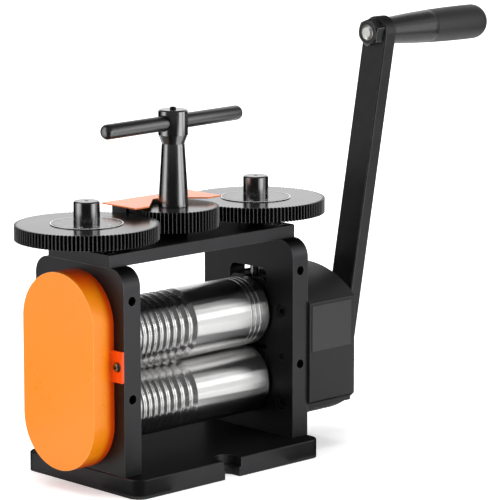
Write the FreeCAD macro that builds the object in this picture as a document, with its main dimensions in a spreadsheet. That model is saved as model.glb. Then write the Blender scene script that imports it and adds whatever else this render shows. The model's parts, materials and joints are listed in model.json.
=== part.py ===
"""Jewellers' combination rolling mill, built as a parametric FreeCAD document.

The rolls lie along X between two side plates, the crank is at +X, the operator stands at -Y and
+Z is up. The origin is the middle of the underside of the base plate. Lengths are millimetres.
"""
import FreeCAD, Part
import math
import os

import Sketcher

SIZES = [
    # frame
    ("plate_gap", 130.5, "clear width between the side plates"),
    ("plate_thick", 13.5, "thickness of each side plate"),
    ("plate_depth", 82.8, "front to back width of the side plates"),
    ("plate_height", 128.6, "height of the side plates above the base"),
    ("plate_corner", 11.5, "radius of the upper corners of the side plates"),
    ("edge_break", 0.6, "small chamfer on machined edges"),
    ("base_overhang", 0.4, "base beyond the outer faces of the side plates"),
    ("base_depth", 107.8, "front to back depth of the base"),
    ("base_thick", 12.3, "thickness of the base"),
    ("base_corner", 8.0, "radius of the base's upright corners"),
    ("slot_width", 12.5, "bench bolt slot, lower part"),
    ("slot_step_width", 15.2, "bench bolt slot, upper part"),
    ("slot_step_deep", 6.2, "depth of the slot's upper part from the top of the base"),
    ("slot_reach", 13.6, "how far a bolt slot runs in from the edge of the base"),
    ("top_depth", 58.0, "front to back width of the top plate"),
    ("top_thick", 8.4, "thickness of the top plate"),
    # frame screws
    ("screw_size", 6.0, "shank diameter of the frame screws"),
    ("screw_head", 10.0, "head diameter of the frame screws"),
    ("screw_head_tall", 5.5, "head height of the frame screws"),
    ("screw_bite", 14.0, "length of a frame screw inside the side plate"),
    ("screw_play", 0.1, "radial play of a screw in its hole"),
    ("head_play", 0.4, "radial play of a screw head in its counterbore"),
    ("base_screw_spread", 56.0, "front to back distance of the base screws"),
    ("top_screw_spread", 40.0, "front to back distance of the top screws"),
    ("fence_hole_size", 6.0, "tapped holes in the front edges of the side plates"),
    ("fence_hole_deep", 6.5, "depth of the tapped front holes"),
    ("fence_hole_low", 60.2, "height of the lower tapped front holes"),
    ("fence_hole_rise", 61.2, "height from the lower to the upper tapped front holes"),
    # rolls
    ("roll_size", 44.6, "roll diameter"),
    ("roll_face", 127.0, "length of the roll barrel"),
    ("roll_edge", 1.2, "chamfer at the ends of the roll barrel"),
    ("roll_gap", 0.6, "gap between the rolls as shown"),
    ("roll_height", 46.0, "height of the lower roll's axis"),
    ("groove_count", 11, "wire grooves in each roll"),
    ("groove_first", 6.4, "width of the widest wire groove"),
    ("groove_ratio", 0.91, "width of each wire groove over the one before it"),
    ("groove_land", 1.0, "land between two wire grooves"),
    ("ring_count", 3, "half-round grooves in the upper roll"),
    ("ring_width", 1.6, "width of a half-round groove"),
    ("ring_pitch", 3.8, "spacing of the half-round grooves"),
    ("ring_margin", 8.1, "last half-round groove from the end of the barrel"),
    ("journal_size", 24.0, "diameter of the roll journals"),
    ("seat_size", 20.0, "diameter of the gear seats on the rolls"),
    ("seat_fit", 0.02, "radial play of a gear on its seat"),
    ("key_width", 5.0, "width of the keys under the roll gears"),
    ("key_deep", 2.5, "depth of those keys in the roll"),
    ("key_rise", 1.8, "height of those keys above the gear seat"),
    ("key_play", 0.1, "room between a key and the top of its slot"),
    ("running_fit", 0.05, "radial play of a shaft that turns"),
    # bearings
    ("window_width", 34.1, "width of the bearing window"),
    ("window_corner", 5.0, "corner radius of the bearing window"),
    ("window_drop", 17.5, "window floor below the lower roll's axis"),
    ("window_roof", 20.6, "plate above the window"),
    ("block_fit", 0.05, "side play of a bearing block in the window"),
    ("block_relief", 1.2, "bearing block short of the pass line"),
    ("block_crown", 22.3, "upper block above the upper roll's axis"),
    ("block_corner", 5.4, "rounded outer corners of the bearing blocks"),
    ("bush_wall", 2.5, "wall of the bronze bushes"),
    ("washer_size", 33.0, "diameter of the thrust washers"),
    ("washer_play", 0.15, "end play of a roll on its thrust washers"),
    # adjusting screws
    ("thread_size", 10.0, "diameter of the adjusting screws"),
    ("neck_size", 7.1, "neck of an adjusting screw in its block"),
    ("button_size", 12.0, "button of an adjusting screw in its block"),
    ("button_thick", 3.0, "thickness of that button"),
    ("tee_lip", 3.0, "block over the button"),
    ("tee_play", 0.15, "play of the button and neck in the block"),
    ("shoulder_rise", 0.5, "end of the thread above the window as shown"),
    ("spindle_size", 16.4, "spindle above the dial gear"),
    ("spindle_rise", 14.2, "spindle above the dial gear's top"),
    ("spindle_edge", 1.3, "chamfer at the top of the spindle"),
    # dial gears
    ("dial_teeth", 110, "teeth of each dial gear"),
    ("centre_teeth", 70, "teeth of the centre gear"),
    ("dial_lift", 5.4, "dial gear above the top plate"),
    ("dial_thick", 9.5, "thickness of the dial gears"),
    ("dial_hub_size", 26.0, "hub under a dial gear"),
    ("dial_hub_gap", 1.6, "hub above the top plate as shown"),
    ("dial_disc_size", 45.6, "diameter of the dial disc"),
    ("dial_disc_thick", 0.5, "thickness of the dial disc"),
    ("centre_lift", 4.7, "centre gear above the top plate"),
    ("centre_thick", 12.9, "thickness of the centre gear"),
    ("centre_hub_size", 17.6, "hub under the centre gear"),
    ("centre_hub_gap", 0.2, "hub above the top plate"),
    ("fine_play", 0.1, "tooth thinning of the dial and centre gears"),
    # handle
    ("stem_foot", 19.4, "stem diameter at the centre gear"),
    ("stem_neck", 14.6, "stem diameter at the neck"),
    ("stem_tall", 38.4, "height of the stem from gear to neck"),
    ("neck_tall", 7.0, "height of the cone between neck and head"),
    ("head_size", 18.9, "diameter of the handle head"),
    ("head_tall", 15.9, "height of the handle head"),
    ("head_edge", 0.9, "chamfer on top of the head"),
    ("bar_size", 9.6, "diameter of the cross bar"),
    ("bar_long", 124.8, "length of the cross bar"),
    ("bar_rise", 7.7, "cross bar above the foot of the head"),
    ("bar_edge", 1.1, "chamfer at the ends of the cross bar"),
    ("bar_play", 0.35, "radial play of the bar in the head"),
    ("bar_turn", 4.6, "angle of the cross bar to the rolls"),
    ("grub_size", 4.0, "set screw in the head"),
    ("grub_stand", 1.6, "set screw above the head"),
    ("grub_edge", 0.5, "chamfer at the ends of the set screw"),
    ("pivot_size", 10.0, "pin that carries the centre gear"),
    ("pivot_rise", 34.0, "pin above the top plate"),
    # guard behind the centre gear
    ("guard_width", 52.4, "width of the guard block"),
    ("guard_front", 14.5, "front face of the guard block behind the handle axis"),
    ("guard_back", 28.8, "back face of the guard block behind the handle axis"),
    ("guard_roof_gap", 0.6, "guard block over the centre gear"),
    ("guard_roof", 1.6, "thickness of the guard block over the centre gear"),
    ("guard_play", 1.6, "guard block round the centre gear"),
    ("guard_screw_inset", 3.8, "guard screws in from the block's corner"),
    ("guard_screw_size", 3.0, "guard screw shank"),
    ("guard_screw_head", 5.5, "guard screw head"),
    ("guard_screw_tall", 3.0, "guard screw head height"),
    ("shield_width", 73.4, "width of the copper shield plate"),
    ("shield_depth", 31.6, "depth of the copper shield plate"),
    ("shield_thick", 1.0, "thickness of the copper shield plate"),
    ("shield_centre", 10.7, "middle of the shield plate behind the handle axis"),
    ("notch_wide", 25.0, "half width of the shield's notch at its mouth"),
    ("notch_narrow", 4.8, "half width of the shield's notch at its end"),
    ("notch_end", 13.9, "end of the notch behind the handle axis"),
    # timing gears and their cover
    ("timing_teeth", 15, "teeth of each timing gear"),
    ("timing_thick", 10.0, "thickness of the timing gears"),
    ("timing_play", 0.5, "tooth thinning of the timing gears"),
    ("gear_gap", 0.8, "gear beside the side plate"),
    ("clip_thick", 1.0, "thickness of the retaining rings"),
    ("clip_size", 24.0, "diameter of the retaining rings"),
    ("clip_bite", 1.0, "depth of the retaining ring grooves"),
    ("shaft_end", 1.2, "shaft beyond its retaining ring"),
    ("cover_half", 32.1, "half width of the gear cover"),
    ("cover_gap", 0.2, "gear cover above the base"),
    ("cover_centres", 60.2, "height from the cover's lower arc centre to its upper one"),
    ("cover_deep", 17.5, "depth of the gear cover"),
    ("cover_wall", 1.6, "wall of the gear cover"),
    ("cover_edge", 2.2, "rounding of the gear cover"),
    ("tab_tall", 19.6, "height of the cover's tabs"),
    ("tab_mid", 81.2, "height of the middle of the tabs"),
    ("tab_thick", 2.0, "thickness of the tabs"),
    ("tab_screw_inset", 4.2, "cover screws in from the plate's edge"),
    ("tab_screw_size", 3.4, "cover screw shank"),
    ("tab_screw_head", 6.6, "cover screw head"),
    ("tab_screw_tall", 1.9, "cover screw head height"),
    ("tab_screw_face", 3.3, "flat on top of the cover screw's head"),
    ("tab_screw_long", 8.0, "cover screw shank length"),
    # gearbox
    ("housing_half", 43.4, "half width of the gearbox housing"),
    ("housing_mid", 66.5, "height of the middle of the housing"),
    ("housing_rise", 49.8, "half height of the housing"),
    ("housing_arc", 63.0, "radius of the housing's upper and lower faces"),
    ("housing_deep", 41.7, "depth of the housing"),
    ("housing_wall", 4.0, "wall of the housing"),
    ("lug_width", 10.0, "width of the screw lugs in the housing"),
    ("box_screw_size", 5.0, "gearbox screw shank"),
    ("box_screw_head", 8.5, "gearbox screw head"),
    ("box_screw_tall", 5.0, "gearbox screw head height"),
    ("box_screw_long", 22.0, "gearbox screw shank length"),
    ("box_screw_side", 31.0, "gearbox screws from the middle of the plate"),
    ("box_screw_mid", 64.3, "height of the gearbox dowels"),
    ("box_screw_rise", 30.0, "gearbox screws above and below the dowels"),
    ("dowel_size", 5.0, "gearbox dowel diameter"),
    ("box_module", 1.25, "module of the reduction gears"),
    ("output_teeth", 32, "teeth of the gear on the lower roll"),
    ("lay_pinion_teeth", 16, "teeth of the lay pinion"),
    ("lay_teeth", 36, "teeth of the lay gear"),
    ("crank_teeth", 12, "teeth of the crank pinion"),
    ("box_play", 0.3, "tooth thinning of the reduction gears"),
    ("output_thick", 12.0, "thickness of the output gear"),
    ("lay_thick", 12.0, "thickness of the lay gear"),
    ("lay_gap", 0.8, "lay gear beyond the end of the lower roll"),
    ("lay_pin_size", 12.0, "pin that carries the lay gears"),
    ("lay_sleeve", 16.0, "sleeve between lay pinion and lay gear"),
    ("crank_core", 9.0, "crank shaft inside its pinion"),
    ("crank_journal", 16.0, "crank shaft in the housing"),
    ("crank_boss", 26.0, "bearing boss inside the housing"),
    ("boss_gap", 0.8, "boss beside the reduction gears"),
    # crank
    ("arm_standoff", 21.7, "crank arm beyond the housing"),
    ("arm_width", 20.0, "width of the crank arm"),
    ("arm_thick", 10.1, "thickness of the crank arm"),
    ("arm_long", 226.5, "crank axis to grip axis"),
    ("arm_tilt", 9.75, "lean of the crank arm to the front as shown"),
    ("arm_edge", 0.8, "chamfer on the crank arm"),
    ("arm_hub", 24.0, "hub of the crank arm"),
    ("arm_hub_long", 12.5, "length of that hub behind the arm"),
    ("arm_bore", 13.0, "crank shaft inside the arm"),
    ("arm_screw_size", 6.0, "screw that holds the arm"),
    ("arm_screw_head", 16.0, "head of that screw"),
    ("arm_screw_tall", 3.0, "head height of that screw"),
    ("arm_screw_long", 16.0, "length of that screw"),
    ("grip_bolt_size", 9.6, "bolt that carries the grip"),
    ("grip_bolt_stand", 1.0, "grip bolt beyond its nut"),
    ("grip_bolt_edge", 0.8, "chamfer at the end of the grip bolt"),
    ("nut_flats", 16.0, "nut across flats"),
    ("nut_thick", 7.0, "nut thickness"),
    ("nut_face", 15.0, "flat face of the nut inside its chamfer"),
    ("nut_edge", 1.3, "height of the nut's chamfer at its corners"),
    ("grip_gap", 0.4, "grip beside the arm"),
    ("pivot_gap", 0.4, "centre pin below the bottom of the stem's bore"),
    ("grip_long", 92.0, "length of the grip"),
    ("grip_foot", 17.0, "grip diameter at the arm"),
    ("grip_waist", 20.4, "grip diameter a quarter of the way along"),
    ("grip_waist_at", 26.0, "place of that diameter along the grip"),
    ("grip_body", 22.2, "grip diameter where the taper ends"),
    ("grip_body_at", 47.0, "place where the taper ends"),
    ("grip_size", 22.9, "largest grip diameter"),
    ("grip_size_at", 72.0, "place of the largest diameter along the grip"),
    ("grip_nose", 10.0, "rounding of the grip's end"),
    ("grip_bore_long", 78.0, "depth of the bore in the grip"),
    ("grip_bolt_in", 76.0, "length of the bolt inside the grip"),
    # label
    ("label_wide", 35.7, "width of the bare label plate"),
    ("label_tall", 30.0, "height of the bare label plate"),
    ("label_thick", 0.5, "thickness of the bare label plate"),
    ("label_inset", 1.8, "label from the edge of the housing"),
    ("label_drop", 1.9, "label below the corner of the housing"),
]

# Proportions of standard screws and gears.
SOCKET_CORNER = 0.5   # corner radius of a hexagon socket over the screw's diameter
SOCKET_DEPTH = 0.6    # depth of the socket over the height of the head
SMALL_SOCKET = 0.3    # corner radius of the socket of a set screw or button screw
TOOTH_ROOM = 0.25     # tooth depth below a gear's mate, in modules
TIMING_REACH = 1.25   # tooth height of the timing gears above the pitch circle, in modules
PRESSURE_ANGLE = 20   # of every gear, in degrees

doc = FreeCAD.newDocument("rolling_mill")
sheet = doc.addObject("Spreadsheet::Sheet", "Sizes")
for row, (alias, amount, meaning) in enumerate(SIZES, start=1):
    sheet.set("A%d" % row, meaning)
    sheet.set("B%d" % row, str(amount))
    sheet.setAlias("B%d" % row, alias)
doc.recompute()


class Size:
    """A length that carries its formula over the sheet's cells and its present value."""

    def __init__(self, text, value):
        self.text = text
        self.value = value

    def join(self, sign, other, value):
        return Size("(%s %s %s)" % (self.text, sign, other.text), value)

    def __add__(self, other):
        other = as_size(other)
        return self.join("+", other, self.value + other.value)

    def __sub__(self, other):
        other = as_size(other)
        return self.join("-", other, self.value - other.value)

    def __mul__(self, other):
        other = as_size(other)
        return self.join("*", other, self.value * other.value)

    def __truediv__(self, other):
        other = as_size(other)
        return self.join("/", other, self.value / other.value)

    def __radd__(self, other):
        return as_size(other) + self

    def __rsub__(self, other):
        return as_size(other) - self

    def __rmul__(self, other):
        return as_size(other) * self

    def __neg__(self):
        return as_size(0) - self


def as_size(amount):
    """Return a Size for a plain number, and a Size as it is."""
    return amount if isinstance(amount, Size) else Size(repr(amount), amount)


def cell(alias):
    """Return the Size of one cell of the sheet."""
    return Size("Sizes.%s" % alias, float(sheet.get(alias)))


S = {alias: cell(alias) for alias, _, _ in SIZES}
COUNTS = {alias: int(round(S[alias].value)) for alias in S if alias.endswith(("_teeth", "_count"))}

X, Y, Z = FreeCAD.Vector(1, 0, 0), FreeCAD.Vector(0, 1, 0), FreeCAD.Vector(0, 0, 1)
ALONG = {  # turns a shape drawn along Z so that it lies along the named axis
    "x": FreeCAD.Rotation(Y, 90),
    "y": FreeCAD.Rotation(X, -90),
    "z": FreeCAD.Rotation(),
}
nodes = []


# ---------------------------------------------------------------- helpers

def bind(thing, prop, amount):
    """Tie one property of an object to a Size."""
    thing.setExpression(prop, as_size(amount).text)


def put(thing, x=0, y=0, z=0, turn=None):
    """Place an object at three Sizes, with an optional fixed rotation."""
    place = FreeCAD.Placement(FreeCAD.Vector(*(as_size(v).value for v in (x, y, z))),
                              turn or FreeCAD.Rotation())
    thing.Placement = place
    for axis, amount in (("x", x), ("y", y), ("z", z)):
        bind(thing, "Placement.Base." + axis, amount)
    return thing


def box(name, size, corner):
    """Make a box from its three edge lengths and its lowest corner."""
    thing = doc.addObject("Part::Box", name)
    for prop, amount in zip(("Length", "Width", "Height"), size):
        bind(thing, prop, amount)
    return put(thing, *corner)


def rod(name, diameter, length, start, axis="z"):
    """Make a cylinder that runs from its start along +x, +y or +z."""
    thing = doc.addObject("Part::Cylinder", name)
    bind(thing, "Radius", diameter / 2)
    bind(thing, "Height", length)
    return put(thing, *start, turn=ALONG[axis])


def hexagon(name, corner, tall, start=0):
    """Make an upright hexagonal bar from its corner radius."""
    thing = doc.addObject("Part::Prism", name)
    thing.Polygon = 6
    bind(thing, "Circumradius", corner)
    bind(thing, "Height", tall)
    return put(thing, 0, 0, start)


def fuse(name, parts):
    """Join several objects into one."""
    thing = doc.addObject("Part::MultiFuse", name)
    thing.Shapes = parts
    return thing


def cut(name, base, tools):
    """Take the tools away from the base."""
    thing = doc.addObject("Part::Cut", name)
    thing.Base = base
    thing.Tool = tools[0] if len(tools) == 1 else fuse(name + "_tools", tools)
    return thing


def group(name, parts):
    """Keep several loose solids as one node."""
    thing = doc.addObject("Part::Compound", name)
    thing.Links = parts
    return thing


def node(name, thing):
    """Register an object as a sub-part of the assembly."""
    thing.Label = name
    nodes.append(thing)
    return thing


def shaped(name, shape, x=0, y=0, z=0, turn=None):
    """Keep a computed shape as an object of the document."""
    thing = doc.addObject("Part::Feature", name)
    thing.Shape = shape
    return put(thing, x, y, z, turn)


def body_sketch(body, name, plane="XY_Plane", lift=0):
    """Start a sketch on one of a body's origin planes, at a height above it."""
    drawing = body.newObject("Sketcher::SketchObject", name)
    support = next(f for f in body.Origin.OriginFeatures if f.Role == plane)
    drawing.AttachmentSupport = [(support, "")]
    drawing.MapMode = "FlatFace"
    bind(drawing, "AttachmentOffset.Base.z", lift)
    return drawing


def fix_point(drawing, geometry, point, x, y):
    """Hold one sketch point at two Sizes from the sketch's origin."""
    for kind, amount in (("DistanceX", x), ("DistanceY", y)):
        amount = as_size(amount)
        index = drawing.addConstraint(
            Sketcher.Constraint(kind, -1, 1, geometry, point, amount.value))
        drawing.setExpression("Constraints[%d]" % index, amount.text)


def draw_polygon(drawing, corners):
    """Draw a closed outline of straight lines through corners given as Sizes."""
    spots = [FreeCAD.Vector(as_size(x).value, as_size(y).value, 0) for x, y in corners]
    count = len(spots)
    for i in range(count):
        drawing.addGeometry(Part.LineSegment(spots[i], spots[(i + 1) % count]), False)
    for i in range(count):
        drawing.addConstraint(Sketcher.Constraint("Coincident", i, 2, (i + 1) % count, 1))
        fix_point(drawing, i, 1, *corners[i])


def draw_slot(drawing, radius, low, high):
    """Draw an upright slot from the centres of its two end arcs."""
    r, a, b = radius.value, as_size(low).value, as_size(high).value
    upper = Part.Circle(FreeCAD.Vector(0, b, 0), Z, r)
    lower = Part.Circle(FreeCAD.Vector(0, a, 0), Z, r)
    drawing.addGeometry([
        Part.ArcOfCircle(upper, 0, math.pi),
        Part.LineSegment(FreeCAD.Vector(-r, b, 0), FreeCAD.Vector(-r, a, 0)),
        Part.ArcOfCircle(lower, math.pi, 2 * math.pi),
        Part.LineSegment(FreeCAD.Vector(r, a, 0), FreeCAD.Vector(r, b, 0)),
    ], False)
    for i in range(4):
        drawing.addConstraint(Sketcher.Constraint("Tangent", i, 2, (i + 1) % 4, 1))
    fix_point(drawing, 0, 3, 0, high)
    fix_point(drawing, 2, 3, 0, low)
    index = drawing.addConstraint(Sketcher.Constraint("Radius", 0, r))
    drawing.setExpression("Constraints[%d]" % index, radius.text)
    drawing.addConstraint(Sketcher.Constraint("Equal", 0, 2))


def draw_drum(drawing, half, arc, middle, rise):
    """Draw upright sides closed by a shallow arc above and below."""
    centre = rise - arc
    reach = math.sqrt(arc.value ** 2 - half.value ** 2) + centre.value
    w, mid = half.value, middle.value
    sweep = math.asin(w / arc.value)
    top = Part.Circle(FreeCAD.Vector(0, mid + centre.value, 0), Z, arc.value)
    foot = Part.Circle(FreeCAD.Vector(0, mid - centre.value, 0), Z, arc.value)
    drawing.addGeometry([
        Part.ArcOfCircle(top, math.pi / 2 - sweep, math.pi / 2 + sweep),
        Part.LineSegment(FreeCAD.Vector(-w, mid + reach, 0), FreeCAD.Vector(-w, mid - reach, 0)),
        Part.ArcOfCircle(foot, 3 * math.pi / 2 - sweep, 3 * math.pi / 2 + sweep),
        Part.LineSegment(FreeCAD.Vector(w, mid - reach, 0), FreeCAD.Vector(w, mid + reach, 0)),
    ], False)
    for i in range(4):
        drawing.addConstraint(Sketcher.Constraint("Coincident", i, 2, (i + 1) % 4, 1))
    drawing.addConstraint(Sketcher.Constraint("Vertical", 1))
    drawing.addConstraint(Sketcher.Constraint("Vertical", 3))
    fix_point(drawing, 0, 3, 0, middle + centre)
    fix_point(drawing, 2, 3, 0, middle - centre)
    for kind, place, amount in (("Radius", (0,), arc), ("DistanceX", (-1, 1, 1, 1), -half),
                                ("DistanceX", (-1, 1, 3, 1), half)):
        index = drawing.addConstraint(Sketcher.Constraint(kind, *place, amount.value))
        drawing.setExpression("Constraints[%d]" % index, amount.text)
    drawing.addConstraint(Sketcher.Constraint("Equal", 0, 2))


def new_body(name):
    return doc.addObject("PartDesign::Body", name)


def pad(body, drawing, length):
    """Raise a sketch by a Size and return the feature."""
    feature = body.newObject("PartDesign::Pad", drawing.Name + "_pad")
    feature.Profile = drawing
    bind(feature, "Length", length)
    doc.recompute()
    return feature


def pocket(body, drawing, depth):
    """Sink a sketch upwards into the body by a Size and return the feature."""
    feature = body.newObject("PartDesign::Pocket", drawing.Name + "_pocket")
    feature.Profile = drawing
    feature.Reversed = True
    bind(feature, "Length", depth)
    before = body.Shape.Volume
    doc.recompute()
    if not body.Shape.Volume < before - 1:
        raise RuntimeError("%s cuts nothing" % feature.Name)
    return feature


def soften(body, feature, kind, size, wanted):
    """Fillet or chamfer the edges of a feature that the test accepts."""
    names = ["Edge%d" % (i + 1) for i, e in enumerate(feature.Shape.Edges) if wanted(e)]
    if not names:
        raise RuntimeError("no edge to soften on %s" % feature.Name)
    result = body.newObject("PartDesign::" + kind, feature.Name + "_" + kind.lower())
    result.Base = (feature, names)
    bind(result, "Radius" if kind == "Fillet" else "Size", size)
    doc.recompute()
    return result


def runs_along(axis):
    """Return a test for straight edges that are parallel to an axis."""
    def test(edge):
        if not isinstance(edge.Curve, Part.Line):
            return False
        return abs(abs(edge.Curve.Direction.dot(axis)) - 1) < 1e-6
    return test


def lies_at(height):
    """Return a test for edges that lie wholly at one height of the body's own Z."""
    def test(edge):
        return abs(edge.BoundBox.ZMin - height) < 1e-4 and abs(edge.BoundBox.ZMax - height) < 1e-4
    return test


def is_rim(height):
    """Return a test for the round edge of a turned piece at one place along its axis."""
    def test(edge):
        return isinstance(edge.Curve, Part.Circle) and abs(edge.Curve.Center.z - height) < 1e-4
    return test


def turned(name, profile, x=0, y=0, z=0, axis="z", turn=None):
    """Turn a profile of (diameter, place along the axis) Sizes into a solid of revolution."""
    body = new_body(name)
    drawing = body_sketch(body, name + "_profile", "XZ_Plane")
    corners = [(0, profile[0][1])] + [(d / 2, at) for d, at in profile] + [(0, profile[-1][1])]
    draw_polygon(drawing, corners)
    feature = body.newObject("PartDesign::Revolution", name + "_turning")
    feature.Profile = drawing
    feature.ReferenceAxis = (drawing, ["V_Axis"])
    feature.Angle = 360
    doc.recompute()
    return put(body, x, y, z, turn or ALONG[axis])


def slab(name, wide, tall, thick, corner=None, lift=0, side=0):
    """Pad a rectangle centred on the body's own X, from a lift in its Y, with round corners."""
    body = new_body(name)
    drawing = body_sketch(body, name + "_outline")
    low, high = as_size(lift), as_size(lift) + tall
    draw_polygon(drawing, [(-wide / 2, low), (wide / 2, low), (wide / 2, high), (-wide / 2, high)])
    feature = pad(body, drawing, thick)
    if corner is not None:
        middle = (low.value + high.value) / 2

        def wanted(edge):
            upright = runs_along(Z)(edge)
            return upright and (side == 0 or (edge.BoundBox.YMin - middle) * side > 0)
        soften(body, feature, "Fillet", corner, wanted)
    return body


# Standing across the rolls: own X becomes +Y, own Y becomes +Z and own Z becomes +X.
ACROSS = FreeCAD.Rotation(FreeCAD.Vector(1, 1, 1), 120)


def involute(angle):
    return math.tan(angle) - angle


def key_room(start, long, seat, low, high):
    """Return the block that a key fills on the +Y side of a shaft along Z."""
    wide = S["key_width"].value
    corner = FreeCAD.Vector(-wide / 2, seat + low, start)
    return Part.makeBox(wide, high - low, long, corner)


def gear_shape(teeth, module, thick, bore, play=0.0, reach=1.0, tooth_at=0.0, keyed=False):
    """Return a spur gear along +Z with a tooth centred at an angle given in degrees."""
    pressure = math.radians(PRESSURE_ANGLE)
    pitch_r = teeth * module / 2
    base_r = pitch_r * math.cos(pressure)
    root_r = pitch_r - (reach + TOOTH_ROOM) * module
    tip_r = pitch_r + reach * module
    half = math.pi / (2 * teeth) - play / (2 * pitch_r)

    def half_angle(radius):
        lean = math.acos(base_r / radius) if radius > base_r else 0.0
        return half + involute(pressure) - involute(lean)

    radii = [root_r, pitch_r, (pitch_r + tip_r) / 2, tip_r]
    spots = []
    for tooth in range(teeth):
        middle = math.radians(tooth_at) + 2 * math.pi * tooth / teeth
        flank = [(r, middle - half_angle(r)) for r in radii]
        flank += [(r, middle + half_angle(r)) for r in reversed(radii)]
        spots += [FreeCAD.Vector(r * math.cos(a), r * math.sin(a), 0) for r, a in flank]
    outline = Part.makePolygon(spots + spots[:1])
    blank = Part.Face(outline).extrude(FreeCAD.Vector(0, 0, thick))
    blank = blank.cut(Part.makeCylinder(bore, thick))
    if keyed:
        seat = S["seat_size"].value / 2
        slot_top = S["key_rise"].value + S["key_play"].value
        blank = blank.cut(key_room(0, thick, seat, -S["key_deep"].value, slot_top))
    return blank


def collar_shape(diameter, bore, low, high):
    """Return a ring round +Z between two heights, with the bore given as a radius."""
    foot = FreeCAD.Vector(0, 0, low.value)
    tall = (high - low).value
    ring = Part.makeCylinder(diameter.value / 2, tall, foot)
    return ring.cut(Part.makeCylinder(bore, tall, foot))


# ---------------------------------------------------------------- shared places

base_top = S["base_thick"]
plate_top = base_top + S["plate_height"]
plate_in = S["plate_gap"] / 2
plate_out = plate_in + S["plate_thick"]
plate_mid = plate_in + S["plate_thick"] / 2
top_face = plate_top + S["top_thick"]
low_axis = S["roll_height"]
high_axis = low_axis + S["roll_size"] + S["roll_gap"]
window_floor = low_axis - S["window_drop"]
window_top = plate_top - S["window_roof"]
block_wide = S["window_width"] - 2 * S["block_fit"]
block_half = S["roll_size"] / 2 - S["block_relief"]
block_top = high_axis + S["block_crown"]
bush_size = S["journal_size"] + 2 * S["running_fit"] + 2 * S["bush_wall"]
dial_module = (S["plate_gap"] + S["plate_thick"]) / (S["dial_teeth"] + S["centre_teeth"])
dial_low = top_face + S["dial_lift"]
dial_top = dial_low + S["dial_thick"]
centre_low = top_face + S["centre_lift"]
centre_top = centre_low + S["centre_thick"]
shield_low = centre_top + S["guard_roof_gap"] + S["guard_roof"]
housing_face = plate_out + S["housing_deep"]
lay_axis = low_axis + (S["lay_pinion_teeth"] + S["output_teeth"]) * S["box_module"] / 2
lay_module = 2 * (lay_axis - low_axis) / (S["lay_teeth"] + S["crank_teeth"])
seat_long = S["gear_gap"] + S["output_thick"] + S["clip_thick"] + S["shaft_end"]
output_low = plate_out + S["gear_gap"]
timing_low = -(plate_out + S["gear_gap"] + S["timing_thick"])
low_shaft_end = plate_out + seat_long
lay_low = low_shaft_end + S["lay_gap"]
lay_high = lay_low + S["lay_thick"]
arm_low = housing_face + S["arm_standoff"]
arm_high = arm_low + S["arm_thick"]
cover_low = base_top + S["cover_gap"] + S["cover_half"]
cover_high = cover_low + S["cover_centres"]
screw_hole = S["screw_size"] + 2 * S["screw_play"]
head_hole = S["screw_head"] + 2 * S["head_play"]


# ---------------------------------------------------------------- frame

def cap_screw(name, size, head, tall, long, start, axis="z", flip=False):
    """A socket head screw whose head starts at the start and whose shank follows it."""
    sense = -1 if flip else 1
    profile = [(head, 0), (head, sense * tall), (size, sense * tall), (size, sense * (tall + long))]
    screw = turned(name + "_blank", profile)
    deep = tall * SOCKET_DEPTH
    well = hexagon(name + "_socket", size * SOCKET_CORNER, deep, -deep if flip else 0)
    return put(cut(name, screw, [well]), *start, turn=ALONG[axis])


def base_slot(side, name):
    """The stepped bolt slot in the front or rear edge of the base."""
    edge = S["base_depth"] / 2
    inner = edge - S["slot_reach"]
    over = S["slot_reach"]
    parts = []
    for label, wide, low, tall in (
            ("lower", S["slot_width"], as_size(0), base_top),
            ("upper", S["slot_step_width"], base_top - S["slot_step_deep"], S["slot_step_deep"])):
        centre = inner + S["slot_step_width"] / 2
        near = centre if side > 0 else -(centre + over)
        parts.append(rod("%s_%s_end" % (name, label), wide, tall, (0, side * centre, low)))
        parts.append(box("%s_%s_run" % (name, label), (wide, over, tall), (-wide / 2, near, low)))
    return parts


def make_base():
    long = 2 * plate_out + 2 * S["base_overhang"]
    blank = slab("base_blank", long, S["base_depth"], base_top, S["base_corner"],
                 lift=-S["base_depth"] / 2)
    rim = blank.Tip
    soften(blank, rim, "Chamfer", S["edge_break"], lies_at(base_top.value))
    tools = base_slot(-1, "front_slot") + base_slot(1, "rear_slot")
    screws = []
    sunk = S["screw_head_tall"] + S["head_play"]
    for i in (-1, 1):
        for j in (-1, 1):
            spot = (i * plate_mid, j * S["base_screw_spread"] / 2)
            tag = "base_%d_%d" % (i + 1, j + 1)
            tools.append(rod(tag + "_head_hole", head_hole, sunk, (*spot, 0)))
            tools.append(rod(tag + "_hole", screw_hole, base_top, (*spot, 0)))
            bite = base_top - sunk + S["screw_bite"]
            screws.append(cap_screw(tag + "_screw", S["screw_size"], S["screw_head"],
                                    S["screw_head_tall"], bite, (*spot, S["head_play"])))
    node("base_plate", cut("base_plate", blank, tools))
    node("base_screws", group("base_screws", screws))


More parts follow.
